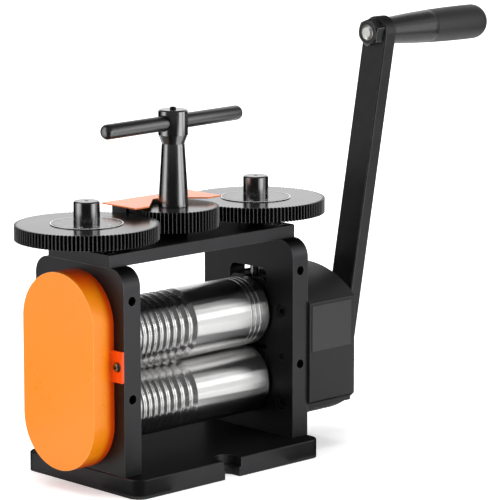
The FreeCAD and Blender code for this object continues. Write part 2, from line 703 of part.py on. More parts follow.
def make_side_plate(side, name):
    blank = slab(name + "_blank", S["plate_depth"], S["plate_height"], S["plate_thick"],
                 S["plate_corner"], lift=base_top, side=1)
    start = plate_in if side > 0 else -plate_out
    put(blank, start, 0, 0, ACROSS)
    window = slab(name + "_window", S["window_width"], window_top - window_floor,
                  S["plate_thick"], S["window_corner"], lift=window_floor)
    put(window, start, 0, 0, ACROSS)
    tools = [window]
    tools.append(rod(name + "_thread", S["thread_size"] + 2 * S["running_fit"], S["window_roof"],
                     (side * plate_mid, 0, window_top)))
    bite = S["screw_bite"] + S["screw_play"]
    for j in (-1, 1):
        base_y = j * S["base_screw_spread"] / 2
        top_y = j * S["top_screw_spread"] / 2
        tag = "%s_%d" % (name, j + 1)
        tools.append(rod(tag + "_foot", screw_hole, bite, (side * plate_mid, base_y, base_top)))
        tools.append(rod(tag + "_head", screw_hole, bite, (side * plate_mid, top_y, plate_top - bite)))
        height = S["fence_hole_low"] + S["fence_hole_rise"] * (j + 1) / 2
        tools.append(rod(tag + "_fence", S["fence_hole_size"], S["fence_hole_deep"],
                         (side * plate_mid, -S["plate_depth"] / 2, height), "y"))
    if side < 0:
        shank = S["tab_screw_size"] + 2 * S["screw_play"]
        for j in (-1, 1):
            y = j * (S["plate_depth"] / 2 - S["tab_screw_inset"])
            long = S["tab_screw_long"] - S["tab_thick"] + S["screw_play"]
            tools.append(rod("%s_tab_%d" % (name, j + 1), shank, long,
                             (-plate_out, y, S["tab_mid"]), "x"))
    else:
        tools += gearbox_holes(name)
    node(name, cut(name, blank, tools))


def box_screw_spots():
    """Heights and sides of the gearbox screws, then of the two dowels between them."""
    screws = [(j * S["box_screw_side"], S["box_screw_mid"] + k * S["box_screw_rise"])
              for j in (-1, 1) for k in (-1, 1)]
    dowels = [(j * S["box_screw_side"], S["box_screw_mid"]) for j in (-1, 1)]
    return screws, dowels


def gearbox_holes(name):
    """Counterbored screw holes and dowel holes through the right side plate."""
    screws, dowels = box_screw_spots()
    shank = S["box_screw_size"] + 2 * S["screw_play"]
    well = S["box_screw_head"] + 2 * S["head_play"]
    tools = []
    for i, (y, z) in enumerate(screws):
        tools.append(rod("%s_box_%d" % (name, i), shank, S["plate_thick"], (plate_in, y, z), "x"))
        tools.append(rod("%s_well_%d" % (name, i), well, S["box_screw_tall"] + S["head_play"],
                         (plate_in, y, z), "x"))
    for i, (y, z) in enumerate(dowels):
        tools.append(rod("%s_dowel_%d" % (name, i), S["dowel_size"] + 2 * S["screw_play"],
                         S["plate_thick"], (plate_in, y, z), "x"))
    return tools


def make_top_plate():
    long = 2 * plate_out
    blank = slab("top_blank", long, S["top_depth"], S["top_thick"], lift=-S["top_depth"] / 2)
    soften(blank, blank.Tip, "Chamfer", S["edge_break"], lies_at(S["top_thick"].value))
    put(blank, 0, 0, plate_top)
    bore = S["thread_size"] + 2 * S["running_fit"]
    tools = [rod("pivot_hole", S["pivot_size"] + 2 * S["seat_fit"], S["top_thick"], (0, 0, plate_top))]
    screws = []
    sunk = S["screw_head_tall"] + S["head_play"]
    for i in (-1, 1):
        tools.append(rod("top_thread_%d" % (i + 1), bore, S["top_thick"],
                         (i * plate_mid, 0, plate_top)))
        for j in (-1, 1):
            spot = (i * plate_mid, j * S["top_screw_spread"] / 2)
            tag = "top_%d_%d" % (i + 1, j + 1)
            tools.append(rod(tag + "_hole", screw_hole, S["top_thick"], (*spot, plate_top)))
            tools.append(rod(tag + "_head_hole", head_hole, sunk, (*spot, top_face - sunk)))
            bite = S["top_thick"] - sunk + S["screw_bite"]
            screws.append(cap_screw(tag + "_screw", S["screw_size"], S["screw_head"],
                                    S["screw_head_tall"], bite, (*spot, top_face - S["head_play"]),
                                    flip=True))
    for i, spot in enumerate(guard_screw_spots()):
        tools.append(rod("top_guard_%d" % i, S["guard_screw_size"] + 2 * S["screw_play"],
                         S["top_thick"], (*spot, plate_top)))
    node("top_plate", cut("top_plate", blank, tools))
    node("top_plate_screws", group("top_plate_screws", screws))


# ---------------------------------------------------------------- bearings

def bush(name, x, z):
    """A bronze bush in a bearing block."""
    ring = rod(name + "_ring", bush_size - 2 * S["seat_fit"], S["plate_thick"], (x, 0, z), "x")
    bore = S["journal_size"] + 2 * S["running_fit"]
    return cut(name, ring, [rod(name + "_bore", bore, S["plate_thick"], (x, 0, z), "x")])


def make_lower_bearing(side, name):
    start = plate_in if side > 0 else -plate_out
    blank = slab(name + "_blank", block_wide, low_axis + block_half - window_floor,
                 S["plate_thick"], S["block_corner"], lift=window_floor, side=-1)
    put(blank, start, 0, 0, ACROSS)
    bore = rod(name + "_bore", bush_size, S["plate_thick"], (start, 0, low_axis), "x")
    node(name, cut(name, blank, [bore]))


def make_upper_bearing(side, name):
    start = plate_in if side > 0 else -plate_out
    foot = high_axis - block_half
    blank = slab(name + "_blank", block_wide, block_top - foot, S["plate_thick"],
                 S["block_corner"], lift=foot, side=1)
    put(blank, start, 0, 0, ACROSS)
    neck = S["neck_size"] + 2 * S["tee_play"]
    tee = S["button_size"] + 2 * S["tee_play"]
    tee_tall = S["button_thick"] + 2 * S["tee_play"]
    tools = [
        rod(name + "_bore", bush_size, S["plate_thick"], (start, 0, high_axis), "x"),
        box(name + "_neck", (S["plate_thick"], neck, S["tee_lip"]),
            (start, -neck / 2, block_top - S["tee_lip"])),
        box(name + "_tee", (S["plate_thick"], tee, tee_tall),
            (start, -tee / 2, block_top - S["tee_lip"] - tee_tall)),
    ]
    node(name, cut(name, blank, tools))


def thrust_washer(name, side, z):
    """A bronze washer between the roll barrel and a bearing block."""
    thick = plate_in - S["roll_face"] / 2 - S["washer_play"]
    start = S["roll_face"] / 2 + S["washer_play"] if side > 0 else -plate_in
    ring = rod(name + "_ring", S["washer_size"], thick, (start, 0, z), "x")
    bore = S["journal_size"] + 2 * S["running_fit"]
    return cut(name, ring, [rod(name + "_bore", bore, thick, (start, 0, z), "x")])


def make_bearings():
    for side, word in ((-1, "left"), (1, "right")):
        make_lower_bearing(side, "lower_%s_bearing" % word)
        make_upper_bearing(side, "upper_%s_bearing" % word)
    for level, z in (("lower", low_axis), ("upper", high_axis)):
        node(level + "_bushes", group(level + "_bushes", [
            bush("%s_bush_%d" % (level, side + 1), plate_in if side > 0 else -plate_out, z)
            for side in (-1, 1)]))
        node(level + "_thrust_washers", group(level + "_thrust_washers", [
            thrust_washer("%s_washer_%d" % (level, side + 1), side, z) for side in (-1, 1)]))


# ---------------------------------------------------------------- rolls

def groove_profile(radius):
    """Corners of the wire grooves on a roll, from the middle of the barrel towards -X."""
    spots = []
    right = 0.0
    wide = S["groove_first"].value
    for _ in range(COUNTS["groove_count"]):
        spots += [(right, radius), (right - wide / 2, radius - wide / 2), (right - wide, radius)]
        right -= wide + S["groove_land"].value
        wide *= S["groove_ratio"].value
    return spots


def key_runs(has_output):
    """Return the start and length of each key along a roll."""
    runs = [(timing_low.value, S["timing_thick"].value)]
    if has_output:
        runs.append((output_low.value, S["output_thick"].value))
    return runs


def roll_key(name, start, long, z):
    """A key in its slot, above the roll's axis."""
    tall = S["key_deep"] + S["key_rise"]
    low = z + S["seat_size"] / 2 - S["key_deep"]
    return box(name, (long, S["key_width"], tall), (start, -S["key_width"] / 2, low))


def roll_shape(has_rings, left_end, right_end):
    """Return a roll along X: barrel with its grooves, journals, gear seats and ring grooves."""
    radius, half = S["roll_size"].value / 2, S["roll_face"].value / 2
    journal, seat, edge = S["journal_size"].value / 2, S["seat_size"].value / 2, S["roll_edge"].value
    outer = plate_out.value
    clip_r = seat - S["clip_bite"].value
    end, clip = S["shaft_end"].value, S["clip_thick"].value
    spots = [(right_end, 0)]
    if right_end > outer:
        spots += [(right_end, seat), (right_end - end, seat), (right_end - end, clip_r),
                  (right_end - end - clip, clip_r), (right_end - end - clip, seat), (outer, seat),
                  (outer, journal)]
    else:
        spots += [(right_end, journal)]
    spots += [(half, journal), (half, radius - edge), (half - edge, radius)]
    spots += groove_profile(radius)
    spots += [(edge - half, radius), (-half, radius - edge), (-half, journal), (-outer, journal),
              (-outer, seat), (left_end + end + clip, seat), (left_end + end + clip, clip_r),
              (left_end + end, clip_r), (left_end + end, seat), (left_end, seat), (left_end, 0)]
    corners = [FreeCAD.Vector(x, 0, r) for x, r in spots]
    solid = Part.Face(Part.makePolygon(corners + corners[:1])).revolve(FreeCAD.Vector(), X, 360)
    for start, long in key_runs(right_end > outer):
        slot = key_room(start, long, seat, -S["key_deep"].value, S["key_rise"].value)
        slot.Placement = FreeCAD.Placement(FreeCAD.Vector(), ACROSS).multiply(slot.Placement)
        solid = solid.cut(slot)
    if has_rings:
        for i in range(COUNTS["ring_count"]):
            x = half - S["ring_margin"].value - i * S["ring_pitch"].value
            solid = solid.cut(Part.makeTorus(radius, S["ring_width"].value / 2,
                                             FreeCAD.Vector(x, 0, 0), X))
    return solid


def retaining_ring(name, x, z):
    """A ring in the groove of a gear seat."""
    ring = rod(name + "_ring", S["clip_size"], S["clip_thick"], (x, 0, z), "x")
    inside = S["seat_size"] - 2 * S["clip_bite"] + 2 * S["running_fit"]
    return cut(name, ring, [rod(name + "_bore", inside, S["clip_thick"], (x, 0, z), "x")])


def make_rolls():
    left_end = timing_low - S["clip_thick"] - S["shaft_end"]
    clip_left = left_end + S["shaft_end"]
    clip_right = low_shaft_end - S["shaft_end"] - S["clip_thick"]
    lower = roll_shape(False, left_end.value, low_shaft_end.value)
    upper = roll_shape(True, left_end.value, plate_out.value)
    node("lower_roll", shaped("lower_roll", lower, z=low_axis))
    node("upper_roll", shaped("upper_roll", upper, z=high_axis))
    node("lower_roll_clips", group("lower_roll_clips", [
        retaining_ring("low_clip_left", clip_left, low_axis),
        retaining_ring("low_clip_right", clip_right, low_axis)]))
    node("upper_roll_clip", retaining_ring("upper_roll_clip", clip_left, high_axis))
    node("lower_roll_keys", group("lower_roll_keys", [
        roll_key("low_key_left", timing_low, S["timing_thick"], low_axis),
        roll_key("low_key_right", output_low, S["output_thick"], low_axis)]))
    node("upper_roll_key", roll_key("upper_roll_key", timing_low, S["timing_thick"], high_axis))


def make_timing_gears():
    teeth = COUNTS["timing_teeth"]
    module = S["roll_size"].value / teeth
    bore = S["seat_size"].value / 2 + S["seat_fit"].value
    for name, z, tooth_at in (("lower_timing_gear", low_axis, 90),
                              ("upper_timing_gear", high_axis, -90 + 180 / teeth)):
        gear = gear_shape(teeth, module, S["timing_thick"].value, bore, S["timing_play"].value,
                          TIMING_REACH, tooth_at, keyed=True)
        node(name, shaped(name, gear, timing_low, 0, z, ACROSS))


# ---------------------------------------------------------------- adjusting screws and dials

def make_adjuster(side, word):
    x = side * plate_mid
    button_low = block_top - S["tee_lip"] - S["tee_play"] - S["button_thick"]
    button_top = button_low + S["button_thick"]
    shoulder = window_top + S["shoulder_rise"]
    hub_low = top_face + S["dial_hub_gap"]
    tip = dial_top + S["spindle_rise"]
    edge = S["spindle_edge"]
    profile = [(S["button_size"], button_low), (S["button_size"], button_top),
               (S["neck_size"], button_top), (S["neck_size"], shoulder),
               (S["thread_size"], shoulder), (S["thread_size"], hub_low),
               (S["spindle_size"], hub_low), (S["spindle_size"], tip - edge),
               (S["spindle_size"] - 2 * edge, tip)]
    node(word + "_adjusting_screw", turned(word + "_adjusting_screw", profile, x=x))
    bore = S["spindle_size"].value / 2 + S["seat_fit"].value
    gear = gear_shape(COUNTS["dial_teeth"], dial_module.value, S["dial_thick"].value, bore,
                      S["fine_play"].value, tooth_at=180 / COUNTS["dial_teeth"])
    gear = gear.fuse(collar_shape(S["dial_hub_size"], bore, hub_low - dial_low, as_size(0)))
    node(word + "_dial_gear", shaped(word + "_dial_gear", gear, x, 0, dial_low))
    disc = rod(word + "_dial_blank", S["dial_disc_size"], S["dial_disc_thick"], (x, 0, dial_top))
    hole = rod(word + "_dial_hole", S["spindle_size"] + 2 * S["screw_play"],
               S["dial_disc_thick"], (x, 0, dial_top))
    node(word + "_dial_disc", cut(word + "_dial_disc", disc, [hole]))


# ---------------------------------------------------------------- centre gear and handle

def make_handle():
    bore = S["pivot_size"] + 2 * S["running_fit"]
    gear = gear_shape(COUNTS["centre_teeth"], dial_module.value, S["centre_thick"].value,
                      bore.value / 2, S["fine_play"].value)
    hub_low = top_face + S["centre_hub_gap"] - centre_low
    gear = gear.fuse(collar_shape(S["centre_hub_size"], bore.value / 2, hub_low, as_size(0)))
    node("centre_gear", shaped("centre_gear", gear, z=centre_low))
    pin = rod("centre_pivot", S["pivot_size"], S["top_thick"] + S["pivot_rise"], (0, 0, plate_top))
    node("centre_pivot", pin)

    neck = centre_top + S["stem_tall"]
    head_low = neck + S["neck_tall"]
    head_top = head_low + S["head_tall"]
    edge = S["head_edge"]
    stem = turned("stem_blank", [
        (S["stem_foot"], centre_top), (S["stem_neck"], neck), (S["head_size"], head_low),
        (S["head_size"], head_top - edge), (S["head_size"] - 2 * edge, head_top)])
    bar_high = head_low + S["bar_rise"]
    turn = FreeCAD.Rotation(Z, S["bar_turn"].value).multiply(ALONG["x"])
    reach = S["head_size"]
    tunnel = rod("bar_tunnel", S["bar_size"] + 2 * S["bar_play"], 2 * reach, (0, 0, 0))
    shift = FreeCAD.Rotation(Z, S["bar_turn"].value).multVec(FreeCAD.Vector(-reach.value, 0, 0))
    tunnel.setExpression("Placement.Base.z", bar_high.text)
    tunnel.setExpression("Placement.Base.x", "-cos(%s) * %s" % (S["bar_turn"].text, reach.text))
    tunnel.setExpression("Placement.Base.y", "-sin(%s) * %s" % (S["bar_turn"].text, reach.text))
    tunnel.Placement = FreeCAD.Placement(shift + FreeCAD.Vector(0, 0, bar_high.value), turn)
    pivot_top = top_face + S["pivot_rise"] + S["pivot_gap"]
    tools = [tunnel,
             rod("stem_bore", bore, pivot_top - centre_top, (0, 0, centre_top)),
             rod("grub_hole", S["grub_size"] + 2 * S["screw_play"], S["head_tall"] - S["bar_rise"],
                 (0, 0, bar_high))]
    node("handle_stem", cut("handle_stem", stem, tools))

    half = S["bar_long"] / 2
    bevel = S["bar_edge"]
    bar = turned("handle_bar", [
        (S["bar_size"] - 2 * bevel, -half), (S["bar_size"], -half + bevel),
        (S["bar_size"], half - bevel), (S["bar_size"] - 2 * bevel, half)],
        z=bar_high, turn=turn)
    node("handle_bar", bar)
    grub_low = bar_high + S["bar_size"] / 2
    grub_top = head_top + S["grub_stand"]
    bevel = S["grub_edge"]
    grub = turned("grub_blank", [
        (S["grub_size"] - 2 * bevel, grub_low), (S["grub_size"], grub_low + bevel),
        (S["grub_size"], grub_top - bevel), (S["grub_size"] - 2 * bevel, grub_top)])
    deep = (grub_top - grub_low) * SOCKET_DEPTH
    well = hexagon("grub_socket", S["grub_size"] * SMALL_SOCKET, deep, grub_top - deep)
    node("handle_set_screw", cut("handle_set_screw", grub, [well]))


def guard_screw_spots():
    x = S["guard_width"] / 2 - S["guard_screw_inset"]
    y = S["guard_back"] - S["guard_screw_inset"]
    return [(i * x, y) for i in (-1, 1)]


def make_guard():
    width, front, back = S["guard_width"], S["guard_front"], S["guard_back"]
    blank = box("guard_blank", (width, back - front, shield_low - top_face),
                (-width / 2, front, top_face))
    tip = dial_module * (S["centre_teeth"] + 2)
    room = rod("guard_room", tip + 2 * S["guard_play"],
               centre_top + S["guard_roof_gap"] - top_face, (0, 0, top_face))
    tools = [room]
    screws = []
    head, tall = S["guard_screw_head"], S["guard_screw_tall"]
    for i, spot in enumerate(guard_screw_spots()):
        shank = shield_low - tall - plate_top - S["head_play"]
        tools.append(rod("guard_hole_%d" % i, S["guard_screw_size"] + 2 * S["screw_play"],
                         shield_low - top_face, (*spot, top_face)))
        tools.append(rod("guard_well_%d" % i, head + 2 * S["head_play"], tall + S["head_play"],
                         (*spot, shield_low - tall - S["head_play"])))
        screws.append(cap_screw("guard_screw_%d" % i, S["guard_screw_size"], head, tall, shank,
                                (*spot, shield_low - S["head_play"]), flip=True))
    node("guard_block", cut("guard_block", blank, tools))
    node("guard_screws", group("guard_screws", screws))
    shield = new_body("shield_plate")
    drawing = body_sketch(shield, "shield_outline")
    w, d, mid = S["shield_width"] / 2, S["shield_depth"] / 2, S["shield_centre"]
    draw_polygon(drawing, [
        (-w, mid - d), (-S["notch_wide"], mid - d), (-S["notch_narrow"], S["notch_end"]),
        (S["notch_narrow"], S["notch_end"]), (S["notch_wide"], mid - d), (w, mid - d),
        (w, mid + d), (-w, mid + d)])
    pad(shield, drawing, S["shield_thick"])
    node("shield_plate", put(shield, 0, 0, shield_low))


# ---------------------------------------------------------------- gear cover

def make_gear_cover():
    shell = new_body("cover_shell")
    outer = body_sketch(shell, "cover_outline")
    draw_slot(outer, S["cover_half"], cover_low, cover_high)
    feature = pad(shell, outer, S["cover_deep"])
    soften(shell, feature, "Fillet", S["cover_edge"], lies_at(S["cover_deep"].value))
    inner = body_sketch(shell, "cover_hollow")
    draw_slot(inner, S["cover_half"] - S["cover_wall"], cover_low, cover_high)
    pocket(shell, inner, S["cover_deep"] - S["cover_wall"])
    # The body's own Z points out of the left side plate.
    outward = FreeCAD.Rotation(Z, 180).multiply(ACROSS)
    put(shell, -plate_out, 0, 0, outward)
    tools, tabs, screws = [], [], []
    for j in (-1, 1):
        edge = S["plate_depth"] / 2
        wide = edge - S["cover_half"] + S["cover_wall"]
        near = edge - wide if j > 0 else -edge
        low = S["tab_mid"] - S["tab_tall"] / 2
        x = -plate_out - S["tab_thick"]
        tabs.append(box("tab_%d" % (j + 1), (S["tab_thick"], wide, S["tab_tall"]), (x, near, low)))
        y = j * (edge - S["tab_screw_inset"])
        hole = S["tab_screw_size"] + 2 * S["screw_play"]
        tools.append(rod("tab_hole_%d" % (j + 1), hole, S["tab_thick"], (x, y, S["tab_mid"]), "x"))
        rise = S["tab_screw_tall"]
        head, size = S["tab_screw_head"], S["tab_screw_size"]
        shoulder = (S["tab_screw_face"] + 2 * head) / 3
        button = turned("tab_button_%d" % (j + 1), [
            (S["tab_screw_face"], 0), (shoulder, rise / 3), (head, rise), (size, rise),
            (size, rise + S["tab_screw_long"])])
        well = hexagon("tab_socket_%d" % (j + 1), size * SMALL_SOCKET, rise * SOCKET_DEPTH)
        screws.append(put(cut("tab_screw_%d" % (j + 1), button, [well]),
                          x - rise, y, S["tab_mid"], ALONG["x"]))
    node("gear_cover", cut("gear_cover", fuse("cover_body", [shell] + tabs), tools))
    node("gear_cover_screws", group("gear_cover_screws", screws))


# ---------------------------------------------------------------- gearbox

def make_housing():
    shell = new_body("housing_shell")
    outer = body_sketch(shell, "housing_outline")
    draw_drum(outer, S["housing_half"], S["housing_arc"], S["housing_mid"], S["housing_rise"])
    feature = pad(shell, outer, S["housing_deep"])
    soften(shell, feature, "Chamfer", S["edge_break"], lies_at(S["housing_deep"].value))
    inner = body_sketch(shell, "housing_hollow")
    wall = S["housing_wall"]
    draw_drum(inner, S["housing_half"] - wall, S["housing_arc"] - wall, S["housing_mid"],
              S["housing_rise"] - wall)
    pocket(shell, inner, S["housing_deep"] - wall)
    put(shell, plate_out, 0, 0, ACROSS)
    parts, tools = [shell], []
    screws, dowels = box_screw_spots()
    wide = S["lug_width"]
    lug_low = S["box_screw_side"] - wide / 2
    lug_high = S["housing_half"] - wall / 2
    for i, (y, z) in enumerate(screws + dowels):
        near = lug_low if y.value > 0 else -lug_high
        parts.append(box("lug_%d" % i, (S["housing_deep"] - wall / 2, lug_high - lug_low, wide),
                         (plate_out, near, z - wide / 2)))
    shank = S["box_screw_size"] + 2 * S["screw_play"]
    screw_room = S["box_screw_long"] + S["box_screw_tall"] + 2 * S["head_play"] - S["plate_thick"]
    for i, (y, z) in enumerate(screws):
        tools.append(rod("lug_hole_%d" % i, shank, screw_room, (plate_out, y, z), "x"))
    pin = S["dowel_size"] + 2 * S["screw_play"]
    for i, (y, z) in enumerate(dowels):
        tools.append(rod("lug_pin_%d" % i, pin, S["plate_thick"], (plate_out, y, z), "x"))
    boss_low = lay_high + S["boss_gap"]
    boss_long = housing_face - S["housing_wall"] / 2 - boss_low
    bore = S["crank_journal"] + 2 * S["running_fit"]
    parts.append(rod("crank_boss", S["crank_boss"], boss_long, (boss_low, 0, low_axis), "x"))
    parts.append(rod("lay_boss", S["crank_boss"], boss_long, (boss_low, 0, lay_axis), "x"))
    tools.append(rod("crank_bore", bore, S["housing_deep"], (plate_out, 0, low_axis), "x"))
    tools.append(rod("lay_bore", S["lay_pin_size"] + 2 * S["seat_fit"], boss_long,
                     (boss_low, 0, lay_axis), "x"))
    node("gearbox_housing", cut("gearbox_housing", fuse("housing_body", parts), tools))
    node("gearbox_screws", group("gearbox_screws", [
        cap_screw("box_screw_%d" % i, S["box_screw_size"], S["box_screw_head"],
                  S["box_screw_tall"], S["box_screw_long"], (plate_in + S["head_play"], y, z), "x")
        for i, (y, z) in enumerate(screws)]))
    node("gearbox_dowels", group("gearbox_dowels", [
        rod("box_dowel_%d" % i, S["dowel_size"], 2 * S["plate_thick"] - 2 * S["head_play"],
            (plate_in + S["head_play"], y, z), "x") for i, (y, z) in enumerate(dowels)]))
    rise = Size("sqrt(%s^2 - %s^2)" % (S["housing_arc"].text, S["housing_half"].text),
                math.sqrt(S["housing_arc"].value ** 2 - S["housing_half"].value ** 2))
    corner = S["housing_mid"] + S["housing_rise"] - S["housing_arc"] + rise
    node("label_plate", box("label_plate", (S["label_wide"], S["label_thick"], S["label_tall"]),
                            (plate_out + S["label_inset"], -S["housing_half"] - S["label_thick"],
                             corner - S["label_drop"] - S["label_tall"])))


def make_reduction():
    module = S["box_module"].value
    stage_two = lay_module.value
    play = S["box_play"].value
    seat = S["seat_size"].value / 2 + S["seat_fit"].value
    output = gear_shape(COUNTS["output_teeth"], module, S["output_thick"].value, seat, play,
                        tooth_at=90, keyed=True)
    node("output_gear", shaped("output_gear", output, output_low, 0, low_axis, ACROSS))

    pin_start = output_low
    pin_end = housing_face - S["housing_wall"] / 2
    node("lay_pin", rod("lay_pin", S["lay_pin_size"], pin_end - pin_start,
                        (pin_start, 0, lay_axis), "x"))
    bore = S["lay_pin_size"].value / 2 + S["running_fit"].value
    pinion_long = (lay_low - output_low).value
    pinion = gear_shape(COUNTS["lay_pinion_teeth"], module, pinion_long, bore, play,
                        tooth_at=-90 + 180 / COUNTS["lay_pinion_teeth"])
    pinion = pinion.fuse(collar_shape(S["lay_sleeve"], bore, lay_low - output_low,
                                      lay_high - output_low))
    node("lay_pinion", shaped("lay_pinion", pinion, output_low, 0, lay_axis, ACROSS))
    gear = gear_shape(COUNTS["lay_teeth"], stage_two, S["lay_thick"].value,
                      S["lay_sleeve"].value / 2 + S["seat_fit"].value, play,
                      tooth_at=-90 + 180 / COUNTS["lay_teeth"])
    node("lay_gear", shaped("lay_gear", gear, lay_low, 0, lay_axis, ACROSS))

    core = S["crank_core"].value / 2 + S["seat_fit"].value
    driver = gear_shape(COUNTS["crank_teeth"], stage_two, S["lay_thick"].value, core, play,
                        tooth_at=90)
    node("crank_pinion", shaped("crank_pinion", driver, lay_low, 0, low_axis, ACROSS))


# ---------------------------------------------------------------- crank

def make_crank():
    lean = FreeCAD.Rotation(X, S["arm_tilt"].value)
    shoulder = arm_low - S["arm_hub_long"]
    inside = arm_high - S["grip_gap"]
    shaft = turned("crank_shaft_blank", [
        (S["crank_core"], lay_low), (S["crank_core"], lay_high), (S["crank_journal"], lay_high),
        (S["crank_journal"], shoulder), (S["arm_bore"], shoulder), (S["arm_bore"], inside)])
    hole = rod("arm_screw_hole", S["arm_screw_size"] + 2 * S["screw_play"],
               S["arm_screw_long"] + S["screw_play"],
               (0, 0, arm_high - S["arm_screw_long"] - S["screw_play"]))
    shaft_cut = cut("crank_shaft", shaft, [hole])
    node("crank_shaft", put(shaft_cut, 0, 0, low_axis, ALONG["x"]))

    arm = new_body("arm_blank")
    drawing = body_sketch(arm, "arm_outline")
    draw_slot(drawing, S["arm_width"] / 2, as_size(0), S["arm_long"])
    feature = pad(arm, drawing, S["arm_thick"])
    rim = [0.0, S["arm_thick"].value]
    soften(arm, feature, "Chamfer", S["arm_edge"], lambda e: any(lies_at(h)(e) for h in rim))
    hub = rod("arm_hub", S["arm_hub"], S["arm_hub_long"] + S["arm_edge"],
              (0, 0, -S["arm_hub_long"]))
    bore = rod("arm_bore", S["arm_bore"] + 2 * S["seat_fit"],
               S["arm_hub_long"] + S["arm_thick"], (0, 0, -S["arm_hub_long"]))
    bolt_hole = rod("grip_bolt_hole", S["grip_bolt_size"] + 2 * S["seat_fit"], S["arm_thick"],
                    (0, S["arm_long"], 0))
    whole = cut("crank_arm", fuse("arm_body", [arm, hub]), [bore, bolt_hole])
    node("crank_arm", put(whole, arm_low, 0, low_axis, lean.multiply(ACROSS)))

    head, tall = S["arm_screw_head"], S["arm_screw_tall"]
    screw = cap_screw("crank_screw", S["arm_screw_size"], head, tall, S["arm_screw_long"],
                      (arm_high + tall, 0, low_axis), "x", flip=True)
    node("crank_screw", screw)

    sin_text, cos_text = ("%s(%s)" % (f, S["arm_tilt"].text) for f in ("sin", "cos"))
    tilt = math.radians(S["arm_tilt"].value)
    grip_y = Size("(-%s * %s)" % (S["arm_long"].text, sin_text),
                  -S["arm_long"].value * math.sin(tilt))
    grip_z = low_axis + Size("(%s * %s)" % (S["arm_long"].text, cos_text),
                             S["arm_long"].value * math.cos(tilt))
    nut_low = arm_low - S["nut_thick"]
    grip_low = arm_high + S["grip_gap"]
    bolt_low = nut_low - S["grip_bolt_stand"]
    edge = S["grip_bolt_edge"]
    bolt_long = grip_low + S["grip_bolt_in"] - bolt_low
    bolt = turned("grip_bolt", [
        (S["grip_bolt_size"] - 2 * edge, 0), (S["grip_bolt_size"], edge),
        (S["grip_bolt_size"], bolt_long)], x=bolt_low, y=grip_y, z=grip_z, axis="x")
    node("grip_bolt", bolt)
    corner = S["nut_flats"] / math.sqrt(3)
    chamfer = turned("nut_rounding", [
        (S["nut_face"], 0), (2 * corner, S["nut_edge"]), (2 * corner, S["nut_thick"])])
    rounded = doc.addObject("Part::Common", "nut_rounded")
    rounded.Base = hexagon("nut_blank", corner, S["nut_thick"])
    rounded.Tool = chamfer
    nut = cut("grip_nut", rounded, [rod("nut_bore", S["grip_bolt_size"] + 2 * S["seat_fit"],
                                        S["nut_thick"], (0, 0, 0))])
    node("grip_nut", put(nut, nut_low, grip_y, grip_z, lean.multiply(ALONG["x"])))

    grip = turned("grip_blank", [
        (S["grip_foot"], 0), (S["grip_waist"], S["grip_waist_at"]),
        (S["grip_body"], S["grip_body_at"]), (S["grip_size"], S["grip_size_at"]),
        (S["grip_size"], S["grip_long"])])
    soften(grip, grip.Tip, "Fillet", S["grip_nose"], is_rim(S["grip_long"].value))
    bore = rod("grip_bore", S["grip_bolt_size"] + 2 * S["running_fit"], S["grip_bore_long"],
               (0, 0, 0))
    node("grip", put(cut("grip", grip, [bore]), grip_low, grip_y, grip_z, ALONG["x"]))


# ---------------------------------------------------------------- assembly

make_base()
make_side_plate(-1, "left_side_plate")
make_side_plate(1, "right_side_plate")
make_top_plate()
make_bearings()
make_rolls()
make_timing_gears()
make_adjuster(-1, "left")
make_adjuster(1, "right")
make_handle()
make_guard()
make_gear_cover()
make_housing()
make_reduction()
make_crank()
doc.recompute()

faults = [thing.Name for thing in doc.Objects
          if "Invalid" in thing.State or "Error" in thing.State]
for thing in nodes:
    if thing.Shape.isNull() or not thing.Shape.isValid() or not thing.Shape.Solids:
        faults.append(thing.Label)
if faults:
    raise RuntimeError("not built: " + ", ".join(faults))

os.makedirs("parts", exist_ok=True)
for thing in nodes:
    thing.Shape.exportStep("parts/%s.step" % thing.Label)
print("%d nodes written" % len(nodes))
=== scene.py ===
# %% [markdown]
# # A jewellers' rolling mill
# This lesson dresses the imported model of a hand-cranked rolling mill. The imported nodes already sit
# at their real place and size, so each step only asks two things: what does this part look like
# up close, and which of Blender's tools gives that look with the least fuss?

# %% Load the frame
import json
import math

import bpy
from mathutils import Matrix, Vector


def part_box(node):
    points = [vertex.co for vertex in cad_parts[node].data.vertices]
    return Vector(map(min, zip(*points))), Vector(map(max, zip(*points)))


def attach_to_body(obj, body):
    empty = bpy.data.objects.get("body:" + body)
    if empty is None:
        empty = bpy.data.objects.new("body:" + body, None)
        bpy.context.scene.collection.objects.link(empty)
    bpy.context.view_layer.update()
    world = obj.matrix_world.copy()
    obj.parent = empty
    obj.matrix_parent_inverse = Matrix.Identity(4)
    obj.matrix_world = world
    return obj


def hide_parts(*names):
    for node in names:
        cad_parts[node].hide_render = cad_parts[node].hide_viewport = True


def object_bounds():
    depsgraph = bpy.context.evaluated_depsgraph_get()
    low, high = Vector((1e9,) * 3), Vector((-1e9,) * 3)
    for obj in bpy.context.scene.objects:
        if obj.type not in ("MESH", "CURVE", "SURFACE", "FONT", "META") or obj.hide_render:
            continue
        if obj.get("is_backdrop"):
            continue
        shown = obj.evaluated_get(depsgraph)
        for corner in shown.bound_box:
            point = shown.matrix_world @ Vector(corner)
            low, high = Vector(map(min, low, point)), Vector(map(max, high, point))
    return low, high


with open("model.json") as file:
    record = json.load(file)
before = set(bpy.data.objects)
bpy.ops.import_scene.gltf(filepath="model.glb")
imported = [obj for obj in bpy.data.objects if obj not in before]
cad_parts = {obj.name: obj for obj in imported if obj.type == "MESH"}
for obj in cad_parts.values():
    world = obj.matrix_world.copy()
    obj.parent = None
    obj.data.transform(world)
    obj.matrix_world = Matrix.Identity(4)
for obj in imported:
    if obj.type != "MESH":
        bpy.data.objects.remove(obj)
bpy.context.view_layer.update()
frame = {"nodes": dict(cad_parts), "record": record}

MM = 0.001

